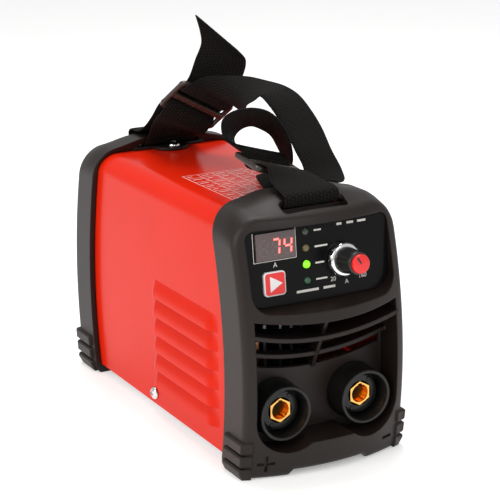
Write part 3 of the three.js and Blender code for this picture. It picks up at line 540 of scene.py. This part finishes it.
def fine_solid(name, outline, levels, pitch, rule):
    """Rings of the outline at (inset, depth) levels, cut into small faces and bent by a rule."""
    rings = [[(x, depth, z) for x, z in inset_outline(outline, inset)] for inset, depth in levels]
    obj = loft(name, rings)
    work = bmesh.new()
    work.from_mesh(obj.data)
    spans = [(0, (1, 0, 0)), (1, (0, 1, 0)), (2, (0, 0, 1))]
    for axis, normal in spans:
        values = [v.co[axis] for v in work.verts]
        low, high = min(values) / MM, max(values) / MM
        for at_level in np.arange(math.ceil(low / pitch) * pitch, high, pitch):
            place = Vector(normal) * (float(at_level) * MM)
            everything = work.verts[:] + work.edges[:] + work.faces[:]
            bmesh.ops.bisect_plane(work, geom=everything, dist=1e-6, plane_co=place, plane_no=normal)
    for vertex in work.verts:
        vertex.co = Vector(rule(*(vertex.co / MM))) * MM
    work.to_mesh(obj.data)
    work.free()
    soften(obj.data)
    return obj


def foot_ridge(side, level):
    """One ridge at a cap's lower corner, wrapping its side and a little of its face."""
    bottom = level * FOOT_PITCH
    top = bottom + FOOT_RIDGE
    slope, inset = (4.2, 2.1) if level == 0 else (1, 1)
    inner, outer = CAP_HALF_WIDTH - 4.5, FOOT_HALF_WIDTH
    section = [(inner, bottom), (outer - inset, bottom), (outer, bottom + slope), (outer, top - 1),
               (outer - 1, top), (inner, top)]
    levels = [(0.7, -1.2), (0, -0.5), (0, FOOT_LENGTH - 0.7), (0.7, FOOT_LENGTH)]
    ridge = fine_solid("ridge", section, levels, 6, cap_rule)
    return mirrored_x(ridge) if side < 0 else ridge


def cover_outline(grow, bottom):
    half, top, radius = COVER_HALF + grow, COVER_TOP + grow, COVER_CORNER + grow
    right = [(half, bottom)] + arc(half - radius, top - radius, radius, 0, 90, 12)
    return right + [(-x, z) for x, z in reversed(right)]


def tongue():
    """Rounded tab that reaches over the cover and takes the cap's screw."""
    outline = arc(0, -TONGUE_EDGE, TONGUE_RADIUS, 0, 180, 24)
    outline = [(22.5, -TONGUE_EDGE - 6), (22.5, -TONGUE_EDGE)] + outline
    outline += [(-22.5, -TONGUE_EDGE), (-22.5, -TONGUE_EDGE - 6)]
    return prism("tongue", "z", outline, COVER_TOP + GAP, TONGUE_TOP)


def cap_block():
    """Both caps before their own features."""
    steps = [math.radians(a) for a in (0, 18, 36, 54, 72, 90)]
    levels = [(CAP_ROUNDING * (1 - math.sin(a)), CAP_ROUNDING * (1 - math.cos(a))) for a in steps]
    levels += [(0, CAP_BAND)]
    body = fine_solid("cap", cap_outline(), levels, 4, cap_rule)
    channel_outline = round_rect(-20, 20, 128, CAP_RIM_TOP - 2.8, 1.5)
    channel = fine_solid("channel", channel_outline, [(0, 3), (0, 30)], 4, cap_rule)
    room = prism("room", "y", cover_outline(0.4, COVER_BOTTOM - GAP), -CORE_BACK, 0)
    slot_outline = round_rect(-SLOT_HALF, SLOT_HALF, -SLOT_OUTER, -SLOT_INNER, 2.5)
    slot = prism("slot", "z", slot_outline, 132, 150)
    return carved(body, [channel, room, slot])


def panel_outline(grow):
    half, top, bottom = PANEL_HALF + grow, PANEL_TOP + grow, PANEL_BOTTOM - grow
    points = [(-34, bottom - 2)]
    points += bezier((-34, bottom - 2), (0, bottom - 3), (34, bottom - 2))
    points += bezier((34, bottom - 2), (half, bottom), (half, bottom + 9))
    points += [(half, top - 6)] + bezier((half, top - 6), (half, top), (half - 6, top))
    points += [(-half + 6, top)] + bezier((-half + 6, top), (-half, top), (-half, top - 6))
    points += [(-half, bottom + 9)]
    points += bezier((-half, bottom + 9), (-half, bottom), (-34, bottom - 2))[:-1]
    return points


def panel_recess():
    """Room in front of the control label; its bottom slopes out to the face."""
    rings = []
    for y, drop in ((0.3, 0), (-1, 0.2), (-26, 5.4)):
        rings.append([(x, y, z - drop * smooth((6 - z) / 16)) for x, z in panel_outline(0.4)])
    return moved(loft("panel_recess", rings), PANEL_FRAME)


def curved_strip(half, lower, upper, rate=FIN_CURVE):
    rise = rate * half * half
    points = [(-half, lower + rise)]
    points += bezier((-half, lower + rise), (0, lower - rise), (half, lower + rise))
    points += [(half, upper + rise)]
    points += bezier((half, upper + rise), (0, upper - rise), (-half, upper + rise))
    return points


def socket_recess():
    centre, low, radius = SOCKET["x"], 32, 18
    points = arc(-centre, low, radius, 180, 310, 22)
    points += bezier(points[-1], (0, 18.4), (centre - radius * 0.64, low - radius * 0.77))[:-1]
    points += arc(centre, low, radius, 230, 360, 22)
    points += [(RECESS_HALF, 85.8)]
    points += bezier((RECESS_HALF, 85.8), (0, 78.8), (-RECESS_HALF, 85.8))
    return prism("socket_recess", "y", points, -130, RECESS_FLOOR)


def polarity_marks():
    """Cutters of the plus and minus signs sunk into the face."""
    def stroke(x, z, width, height):
        outline = [(x + u * width / 2, z + v * height / 2) for u, v in ((-1, -1), (1, -1), (1, 1), (-1, 1))]
        return fine_solid("mark", outline, [(0, -3), (0, MARK_DEPTH)], 2, cap_rule)
    return [stroke(-36.4, 8.8, 9, 1.6), stroke(-36.4, 8.8, 1.6, 9), stroke(36.6, 9.2, 6.5, 1.6)]


def front_cap():
    vent = prism("vent", "y", curved_strip(RECESS_HALF - 1, 52, 80.5), RECESS_FLOOR - 1, -CORE_BACK + 1)
    hole = round_rect(-38, 38, -16.5, 18.5, 2)
    behind = moved(prism("behind", "y", hole, -1, 16), PANEL_FRAME)
    cap = carved(cap_block(), [socket_recess(), vent, panel_recess(), behind, *polarity_marks()])
    fins = []
    for height, reach in ((72.4, -110), (60.7, -99)):
        fins.append(prism("fin", "y", curved_strip(43.5, height - 2.3, height), reach, -CORE_BACK))
    sill = block("sill", (-20, 20), (-SLOT_INNER, -CORE_BACK - 0.1), (128, COVER_TOP + 0.6))
    rib = prism("rib", "x", [(-112, 84), (-95.2, 51), (-CORE_BACK, 51), (-CORE_BACK, 84)], -1.1, 1.1)
    ridges = [foot_ridge(side, level) for side in (-1, 1) for level in range(3)]
    skin = joined("front_cap_skin", cap, rib, sill, tongue(), *fins, *ridges)
    dress(skin, "case_plastic", replaces=["front_bezel"])


def rear_cap():
    recess = prism("recess", "y", round_rect(-41, 41, 11, 129, 8), -130, -REAR_FLOOR)
    slots = []
    for row in range(-4, 5):
        height = row * 7.6
        half = math.sqrt(35.5**2 - height**2)
        middle = FAN_Z + height
        outline = round_rect(-half, half, middle - 2.2, middle + 2.2, 2.1)
        slots.append(prism("slot", "y", outline, -100, -80))
    x, z = SWITCH
    hole = block("hole", (x - 6.6, x + 6.6), (-100, -80), (z - 13.8, z + 13.8))
    gland = prism("gland", "y", arc(GLAND["x"], GLAND["z"], 10.3, 0, 345, 23), -100, -80)
    earth = prism("earth", "y", arc(*EARTH, 3.3, 0, 337.5, 15), -100, -80)
    cap = carved(cap_block(), [recess, *slots, hole, gland, earth])
    ridges = [foot_ridge(side, level) for side in (-1, 1) for level in range(3)]
    skin = mirrored_y(joined("rear_cap_skin", cap, tongue(), *ridges))
    dress(skin, "case_plastic", replaces=["rear_bezel"])


# ---------------------------------------------------------------- cover
def louvre(index):
    """One pressed scoop on the -x side, flush at its top and open at its lower edge."""
    top = LOUVRE_TOP - index * LOUVRE_PITCH
    steps, rows = 40, 9
    outer, inner = [], []
    for i in range(steps + 1):
        y = LOUVRE_FRONT + (LOUVRE_REAR - LOUVRE_FRONT) * i / steps
        swell = min(smooth((y - LOUVRE_FRONT) / 9), smooth((LOUVRE_REAR - y) / 3.5))
        for j in range(rows + 1):
            t = j / rows
            proud = LOUVRE_PROUD * swell * math.sin(t * math.pi / 2) ** 1.2
            z = top - LOUVRE_HEIGHT * t
            outer.append((-COVER_HALF - proud + 0.05, y, z))
            inner.append((-COVER_HALF - max(proud - 0.8, -0.6), y, z))
    n = rows + 1
    shift = len(outer)
    faces = []
    for i in range(steps):
        for j in range(rows):
            a, b = i * n + j, (i + 1) * n + j
            faces.append((a, a + 1, b + 1, b))
            faces.append((shift + a, shift + b, shift + b + 1, shift + a + 1))
        faces.append((i * n + rows, shift + i * n + rows, shift + (i + 1) * n + rows, (i + 1) * n + rows))
    return new_object("louvre", outer + inner, faces, 50)


def cover():
    outer = cover_outline(0, COVER_BOTTOM)
    inner = [(x, z) for x, z in reversed(cover_outline(-SHEET, COVER_BOTTOM))]
    skin = prism("cover_skin", "y", outer + inner, -COVER_END, COVER_END)
    along = (LOUVRE_FRONT + 12, LOUVRE_REAR - 6)
    mouths = []
    for i in range(LOUVRES):
        bottom = LOUVRE_TOP - i * LOUVRE_PITCH - LOUVRE_HEIGHT
        mouths.append(block("mouth", (-50, 50), along, (bottom + 1.9, bottom + 3.2)))
    skin = carved(skin, mouths)
    scoops = [louvre(i) for i in range(LOUVRES)]
    scoops += [mirrored_x(louvre(i)) for i in range(LOUVRES)]
    dress(joined("cover_skin", skin, *scoops), "red_paint", replaces=["cover"])


def rating_table():
    """White ruled table printed on the top of the cover, with no wording."""
    left, front, rear = -27, -62.5, 0.6
    columns = [0, 9, 18, 27, 36, 45, 54]
    rows = [0, 7, 16, 24, 31, 38, 46, 54, 63.1]
    line = 0.35
    top = COVER_TOP + 0.06
    strokes = []
    for c in columns:
        x = left + c
        strokes.append(((x, x + line), (front, rear)))
    for r in rows:
        y = rear - r
        strokes.append(((left, left + columns[-1]), (y - line, y)))
    for i, c in enumerate(columns[:-1]):
        for j, r in enumerate(rows[:-1]):
            x, y = left + c + 1.8, rear - r - 3
            length = 3 + (i * 5 + j * 3) % 4
            strokes.append(((x, x + length), (y - 0.8, y)))
    parts = [block("stroke", x, y, (COVER_TOP - 0.05, top)) for x, y in strokes]
    dress(joined("rating_table", *parts), "table_white")


def screw(name, node, place):
    """Pan-head screw about y with a cross recess in its head."""
    head = [(0, -2.3), (1.2, -2.25), (2.2, -2), (3.0, -1.5), (3.5, -0.9), (3.7, -0.2), (3.7, 0), (0, 0)]
    shape = turned(name, head, 40)
    bars = [block("bar", (-2, 2), (-3, -1), (-0.45, 0.45)), block("bar", (-0.45, 0.45), (-3, -1), (-2, 2))]
    dress(moved(carved(shape, bars), place), "screw_steel", replaces=[node])


def screws():
    for side, name in ((-1, "left"), (1, "right")):
        place = at(side * (COVER_HALF + GAP), 5.9, 11.4) @ Matrix.Rotation(side * math.pi / 2, 4, "Z")
        screw(f"side_screw_{name}", f"cover_screw_{name}", place)
    for side, name in ((-1, "front"), (1, "rear")):
        place = at(0, side * 66.4, TONGUE_TOP + GAP) @ Matrix.Rotation(-math.pi / 2, 4, "X")
        screw(f"top_screw_{name}", f"cap_screw_{name}", place)


# ---------------------------------------------------------------- control panel
def bar(x, z, width, height, y=-0.86, thickness=0.12):
    """A flat printed stroke on the panel, centred at (x, z)."""
    across = (x - width / 2, x + width / 2)
    upright = (z - height / 2, z + height / 2)
    return block("stroke", across, (y, y + thickness), upright)


def lettering(text, x, z, size):
    data = bpy.data.curves.new("text", "FONT")
    data.body = text
    data.size = size * MM
    data.extrude = 0.00004
    data.align_x = "CENTER"
    data.align_y = "CENTER"
    source = bpy.data.objects.new("text", data)
    bpy.context.scene.collection.objects.link(source)
    graph = bpy.context.evaluated_depsgraph_get()
    mesh = bpy.data.meshes.new_from_object(source.evaluated_get(graph))
    bpy.data.objects.remove(source)
    mesh.transform(Matrix.Translation((x * MM, -0.00084, z * MM)) @ Matrix.Rotation(math.pi / 2, 4, "X"))
    obj = bpy.data.objects.new("text", mesh)
    bpy.context.scene.collection.objects.link(obj)
    return obj


def panel_print():
    x, z = DISPLAY["x"], 11.3
    width, height, line = 24.6, 15.2, 0.35
    parts = [
        bar(x, z - height / 2, width, line), bar(x - width / 2, z, line, height),
        bar(x + width / 2, z, line, height),
        lettering("A", -25, 1.3, 3.6), lettering("20", 8.4, -11, 3.3),
        lettering("A", 16.4, -13.4, 3.3), lettering("160", 26, -11.6, 3.3),
    ]
    for i, length in enumerate((4.2, 7.6, 5.2, 6.6)):
        parts.append(bar(-1.6 + length / 2, LED["top"] - i * LED["pitch"], length, 0.9))
    for x0, length in ((-13.4, 13), (2.4, 7)):
        parts.append(bar(x0 + length / 2, -14.6, length, 1.3))
    for x0, length in ((12, 3), (18, 4), (24.4, 5)):
        parts.append(bar(x0 + length / 2, 17.3, length, 1.2))
    dress(moved(joined("panel_print", *parts), PANEL_FRAME), "print_white")


def seven_segments():
    """Three digits behind the window, two of them lit."""
    shapes = {"a": (0, 1, True), "b": (1, 0.5, False), "c": (1, -0.5, False), "d": (0, -1, True),
              "e": (-1, -0.5, False), "f": (-1, 0.5, False), "g": (0, 0, True)}
    half_w, half_h, stroke, slant = 2.0, 3.9, 0.85, 0.09
    lit_parts, dark_parts = [], []
    for offset, on in ((-6.9, ""), (0.2, "abc"), (7.1, "bcfg")):
        for name, (u, v, flat) in shapes.items():
            x, z = u * half_w, v * half_h
            size = (2 * half_w - 1.1, stroke) if flat else (stroke, half_h - 1.1)
            piece = bar(x, z, *size, y=-0.03, thickness=0.06)
            piece.data.transform(Matrix(((1, 0, slant, 0), (0, 1, 0, 0), (0, 0, 1, 0), (0, 0, 0, 1))))
            moved(piece, on_panel(DISPLAY["x"] + offset, DISPLAY["z"] - 0.6, -2.05))
            (lit_parts if name in on else dark_parts).append(piece)
    dress(joined("display_digits", *lit_parts), "segment_on")
    dress(joined("display_dark_digits", *dark_parts), "segment_off")


def status_leds():
    dome = [(0, -2.2), (0.7, -2.12), (1.3, -1.85), (1.75, -1.4), (1.97, -0.9), (2, -0.4), (2, 0), (0, 0)]
    for i, look in enumerate(("led_red", "led_amber", "led_green", "led_dark")):
        lens = turned(f"led_lens_{i + 1}", dome, 32, on_panel(LED["x"], LED["top"] - i * LED["pitch"]))
        dress(lens, look, replaces=[f"status_led_{i + 1}"])


def mode_button():
    half = BUTTON["half"]
    levels = [(0, -0.2), (0, -1.6), (0.25, -1.9), (0.7, -2.0)]
    rings = []
    for inset, y in levels:
        side = half - inset
        rings.append([(x, y, z) for x, z in round_rect(-side, side, -side, side, 2 - inset * 0.6)])
    place = on_panel(BUTTON["x"], BUTTON["z"])
    dress(moved(loft("button_key", rings), place), "button_white", "button")
    face = prism("button_face", "y", round_rect(-5.6, 5.6, -5.6, 5.6, 1.5), -2.08, -1.9)
    dress(moved(face, place), "red_plastic", "button", replaces=["mode_button"])
    arrow = prism("button_arrow", "y", [(-2.9, -4.1), (4.2, 0), (-2.9, 4.1)], -2.14, -2)
    dress(moved(arrow, place), "button_white", "button")


def knob():
    place = on_panel(KNOB["x"], KNOB["z"])
    ring = [(6.9, -1.3), (9.1, -1.3), (9.1, -2.4), (8.9, -3.2), (8.4, -4.3), (7.9, -4.6), (3.6, -4.6),
            (3.6, -3.8), (6.9, -3.8), (6.9, -1.3)]
    skirt = turned("knob_ring", ring, 72, place)
    dress(skirt, "chrome", "knob", replaces=["knob_skirt"])
    dashes = around_y(12, place, "dash", (-1.2, 1.2), (-4.2, -2.3), (8.5, 9.02))
    dress(joined("knob_dashes", *dashes), "black_plastic", "knob")
    grip = [(0, -17.6), (5.2, -17.6), (5.7, -17.4), (5.95, -17), (6.2, -14), (6.6, -9), (7, -5.6),
            (7, -4.9), (3.3, -4.9), (3.3, -5.5), (0, -5.5)]
    dress(turned("knob_grip", grip, 64, place), "black_plastic", "knob", replaces=["knob_body"])
    cap = [(0, -20), (4.2, -20), (4.6, -19.9), (4.9, -19.6), (5, -19.2), (5, -17.9), (0, -17.9)]
    dress(turned("knob_disc", cap, 48, place), "red_plastic", "knob", replaces=["knob_cap"])
    pointer = block("knob_pointer", (-0.5, 0.5), (-20.06, -19.9), (0.4, 4.5))
    pointer.data.transform(Matrix.Rotation(math.radians(-33), 4, "Y"))
    dress(moved(pointer, place), "black_plastic", "knob")


# ---------------------------------------------------------------- output sockets
def socket(side, name):
    place = at(side * SOCKET["x"], SOCKET["face"], SOCKET["z"])
    floor = RECESS_FLOOR - GAP - SOCKET["face"]
    collar = [(6.9, 6.7), (9.9, 6.7), (10.5, 6.9), (10.5, 12.5), (12.9, 12.5), (12.9, 0.5), (13.1, 0.15),
              (13.5, 0), (14.3, 0), (14.65, 0.2), (14.75, 0.6), (15.4, floor), (11, floor), (11, 30),
              (6.9, 30), (6.9, 6.7)]
    body = turned("collar", collar, 72, place)
    dots = [
        turned("dot", [(0, 6.1), (0.8, 6.15), (1.05, 6.4), (1.1, 7.2), (0, 7.2)], 16,
               place @ at(9 * math.cos(a), 0, 9 * math.sin(a)))
        for a in (math.radians(55), math.radians(235))
    ]
    dress(joined(f"socket_collar_{name}", body, *dots), "socket_rubber", replaces=[f"socket_body_{name}"])
    insert = prism(f"socket_ferrule_{name}", "y", arc(0, 0, 6.7, 30, 330, 5), 6.4, 39)
    bore = turned("bore", [(0, -1), (4.9, -1), (4.9, 6.8), (4.6, 7.2), (4.6, 36), (0, 36)], 48)
    keyway = block("keyway", (-1.1, 1.1), (-1, 23), (0, 5.5))
    ferrule = moved(carved(insert, [bore, keyway]), place)
    dress(ferrule, "brass", replaces=[f"socket_insert_{name}"])


# ---------------------------------------------------------------- rear fittings
def rear_fittings():
    gland = [(5.2, 84), (9.9, 84), (9.9, 95.3), (13, 95.3), (13, 101), (12.4, 101.6), (11.9, 102),
             (11.6, 108), (11.4, 113.4), (10.8, 116), (9.4, 119), (8, 120.2), (6.8, 120.4), (5.2, 120.4),
             (5.2, 84)]
    shell = turned("gland", gland, 64, at(GLAND["x"], 0, GLAND["z"]))
    centre = at(GLAND["x"], 0, GLAND["z"])
    ribs = around_y(16, centre, "rib", (-0.6, 0.6), (103, 112.5), (11.2, 12.1))
    dress(joined("gland_body", shell, *ribs), "black_plastic", replaces=["cable_gland"])
    thread = [(0, 87), (5, 87), (5, 91.2), (3, 91.2)]
    for k in range(18):
        thread += [(3, 91.8 + 0.8 * k), (2.65, 92.2 + 0.8 * k)]
    thread += [(2.7, 106.6), (2.3, 107), (0, 107)]
    bolt = turned("earth_bolt", thread, 32, at(EARTH[0], 0, EARTH[1]))
    dress(bolt, "zinc_steel", replaces=["earth_stud"])


# ---------------------------------------------------------------- carrying strap
def buckle_frame(centre, across, along):
    """The frame of a tri-glide buckle: x across the webbing, y along it, z out of the plate."""
    x = Vector(across).normalized()
    y = Vector(along)
    y = (y - x * x.dot(y)).normalized()
    matrix = Matrix((x, y, x.cross(y))).transposed().to_4x4()
    matrix.translation = Vector(centre)
    return matrix


REAR_BUCKLE = buckle_frame((0.2, 34.8, 168), (32.4, 0.4, -17.9), (4.6, -15, 17.4))
FRONT_BUCKLE = buckle_frame((-1.5, -56, 150.8), (35.9, 6.3, -10.7), (-2, 14, 3.2))


def in_buckle(buckle, along, out, aside=0):
    return [tuple(buckle @ Vector((aside + side * WEBBING["half"], along, out))) for side in (-1, 1)]


# Over an end bar, then under the middle bar: (along, out of the plate).
THREADING = [(14, 3.4), (10.2, 2.9), (7.6, 2.3), (5.2, 0), (2.8, -2.3), (0.3, -2.9)]
# Round the bar between a strap slot and the cover, from under it to over it: (distance, z).
BAR_WRAP = [(71.2, 140.4), (72.9, 139.6), (75, 139.4), (78.5, 139.3), (82, 138.5), (91, 138.2), (94, 138.9),
            (95, 141.2), (94.7, 144), (91.5, 145.4)]


def into_buckle(buckle):
    return [in_buckle(buckle, -along, out) for along, out in THREADING]


def out_of_buckle(buckle):
    return [in_buckle(buckle, along, out) for along, out in reversed(THREADING)]


def around_bar(side, left, right):
    return [[(left, side * d, z), (right, side * d, z)] for d, z in BAR_WRAP]


REAR_ROUTE = [
    [(-4.7, 24.5, 221), (20, 19, 198.5)], [(-2.3, 24, 212), (25.5, 22.5, 194)],
    [(-1.1, 25, 205), (27, 25, 189.5)], [(-3, 29, 195.5), (26.5, 28, 183)],
    in_buckle(REAR_BUCKLE, 9, -6, 3), in_buckle(REAR_BUCKLE, -4, -6, 3),
    in_buckle(REAR_BUCKLE, -14, -6.5, 1.5),
    [(-16, 62, 158), (14, 62, 151)], [(-16, 73, 150), (16, 73, 148.5)], [(-16, 83, 145.8), (16, 83, 145.8)],
    *reversed(around_bar(1, -16, 16)),
    [(-16, 69.2, 143), (16, 69.2, 143)], [(-16.5, 60, 154), (13.5, 58, 146.5)],
    *into_buckle(REAR_BUCKLE),
]
MAIN_ROUTE = [
    *out_of_buckle(REAR_BUCKLE),
    [(-2, 20, 186.5), (13, 0, 167.5)], [(6.5, 10, 188), (5.5, -14, 173.5)],
    [(14.5, 0, 188.3), (1.5, -24.5, 178.3)], [(23, -6, 186), (2.7, -30.3, 181.5)],
    [(31.5, -11, 183), (5, -31, 183.5)], [(36.5, -18, 178.9), (9.3, -34.5, 178)],
    [(40.3, -24, 171.8), (13, -36.5, 171.5)], [(43.4, -31, 162.5), (16.3, -41, 163)],
    [(44.6, -40, 151), (17.2, -48, 155)], [(46.5, -47, 142), (19.5, -53, 145.5)],
    [(40, -61, 138.7), (11, -62, 139.6)], [(30, -66, 141), (2, -66.5, 143.4)],
    [(18, -69, 142.2), (-12.5, -69, 143.2)],
    *around_bar(-1, 16, -16),
    [(15.5, -82, 146), (-15.6, -80, 149)],
    *[(right, left) for left, right in into_buckle(FRONT_BUCKLE)],
]
FRONT_ROUTE = [
    *out_of_buckle(FRONT_BUCKLE),
    [(-24, -46.5, 166), (-6, -30, 154.5)], [(-27.3, -49, 173.5), (-9.8, -29, 161)],
    [(-27.5, -52, 178.5), (-7.5, -31, 166)], [(-22.5, -54, 182), (-1, -32, 168)],
    [(-13, -56, 183), (6, -33.5, 165)], [(-2, -55, 179.4), (12, -31, 160.7)],
    [(7.5, -53, 170.3), (17.5, -27, 154.3)], [(12, -52, 161), (21.8, -24, 148.5)],
    [(16.8, -45, 147.5), (28, -16, 140.8)], [(14.5, -43, 140.8), (26, -14, 138.5)],
    [(5, -49.5, 138.4), (16, -19.5, 138.2)], [(-6, -56, 138.4), (5, -26, 138.2)],
]


def edge_curve(points, steps):
    """Centripetal curve through the points, the same that three.js draws."""
    p = np.array(points, float)
    p = np.vstack([2 * p[0] - p[1], p, 2 * p[-1] - p[-2]])
    result = []
    for a, b, c, d in zip(p, p[1:], p[2:], p[3:]):
        d0, d1, d2 = (np.linalg.norm(v) ** 0.5 for v in (b - a, c - b, d - c))
        t1 = ((b - a) / d0 - (c - a) / (d0 + d1) + (c - b) / d1) * d1
        t2 = ((c - b) / d1 - (d - b) / (d1 + d2) + (d - c) / d2) * d1
        for t in np.arange(steps) / steps:
            result.append(b + t1 * t + (3 * (c - b) - 2 * t1 - t2) * t**2 + (2 * (b - c) + t1 + t2) * t**3)
    result.append(p[-2])
    return np.array(result)


def webbing(name, route, node):
    left = edge_curve([pair[0] for pair in route], 6)
    right = edge_curve([pair[1] for pair in route], 6)
    middle = (left + right) / 2
    across = (right - left) / 2
    forward = np.gradient(middle, axis=0)
    normal = np.cross(across, forward)
    normal /= np.linalg.norm(normal, axis=1)[:, None]
    half = WEBBING["thickness"] / 2
    section = [(-1, 0), (-0.97, 0.75), (-0.9, 1), (-0.45, 1), (0, 1)]
    section += [(-u, w) for u, w in reversed(section[:-1])]
    section += [(u, -w) for u, w in reversed(section[1:-1])]
    rings = [
        [tuple(m + a * u + n * w * half) for u, w in section]
        for m, a, n in zip(middle, across, normal)
    ]
    obj = loft(name, rings, angle=60)
    travelled = np.concatenate([[0], np.cumsum(np.linalg.norm(np.diff(middle, axis=0), axis=1))])
    lookup = {}
    for ring, distance in zip(rings, travelled):
        for (u, _), point in zip(section, ring):
            lookup[tuple(round(c, 3) for c in point)] = (u * WEBBING["half"] * MM, distance * MM)
    layer = obj.data.uv_layers.new(name="unrolled")
    for loop in obj.data.loops:
        key = tuple(round(c / MM, 3) for c in obj.data.vertices[loop.vertex_index].co)
        layer.data[loop.index].uv = lookup.get(key, (0, 0))
    dress(obj, "webbing", replaces=[node])


def tri_glide(name, node, buckle):
    """Rounded frame with a middle bar."""
    wide, long = BUCKLE["half"]
    half_thick = BUCKLE["thickness"] / 2
    path = round_rect(-wide + 1.1, wide - 1.1, -long + 1.75, long - 1.75, 2.6, 5)
    rings = []
    for i, (x, y) in enumerate(path):
        before, after = Vector(path[i - 1]), Vector(path[(i + 1) % len(path)])
        along = (after - before).normalized()
        out = Vector((along.y, -along.x))
        reach = 1.7 * abs(out.y) + 1.05 * abs(out.x)
        ring = []
        for k in range(12):
            a = k * math.tau / 12
            u = reach * math.copysign(abs(math.cos(a)) ** 0.6, math.cos(a))
            w = half_thick * math.copysign(abs(math.sin(a)) ** 0.6, math.sin(a))
            ring.append((x + out.x * u, y + out.y * u, w))
        rings.append(ring)
    rim = loft("rim", rings, closed=True, angle=60)
    section = [(1.9 * math.copysign(abs(math.cos(a)) ** 0.6, math.cos(a)),
                half_thick * math.copysign(abs(math.sin(a)) ** 0.6, math.sin(a)))
               for a in np.arange(12) * math.tau / 12]
    middle = prism("middle", "x", section, -wide + 1, wide - 1)
    dress(moved(joined(name, rim, middle), buckle), "buckle_plastic", replaces=[node])


def strap():
    webbing("strap_rear_band", REAR_ROUTE, "strap_rear")
    webbing("strap_main_band", MAIN_ROUTE, "strap_main")
    webbing("strap_front_band", FRONT_ROUTE, "strap_front")
    tri_glide("tri_glide_rear", "strap_buckle_rear", REAR_BUCKLE)
    tri_glide("tri_glide_front", "strap_buckle_front", FRONT_BUCKLE)


# ---------------------------------------------------------------- carried-over CAD nodes
def dress_cad_nodes():
    slots = {row["node"]: row["material_slot"] for row in frame["record"]["subparts"]}
    for name, obj in frame["nodes"].items():
        obj.data.materials.clear()
        obj.data.materials.append(LOOK[slots[name]])


make_camera()
make_stage()
dress_cad_nodes()
front_cap()
rear_cap()
cover()
rating_table()
screws()
panel_print()
seven_segments()
status_leds()
mode_button()
knob()
for side, name in ((-1, "positive"), (1, "negative")):
    socket(side, name)
rear_fittings()
strap()

bpy.context.view_layer.update()
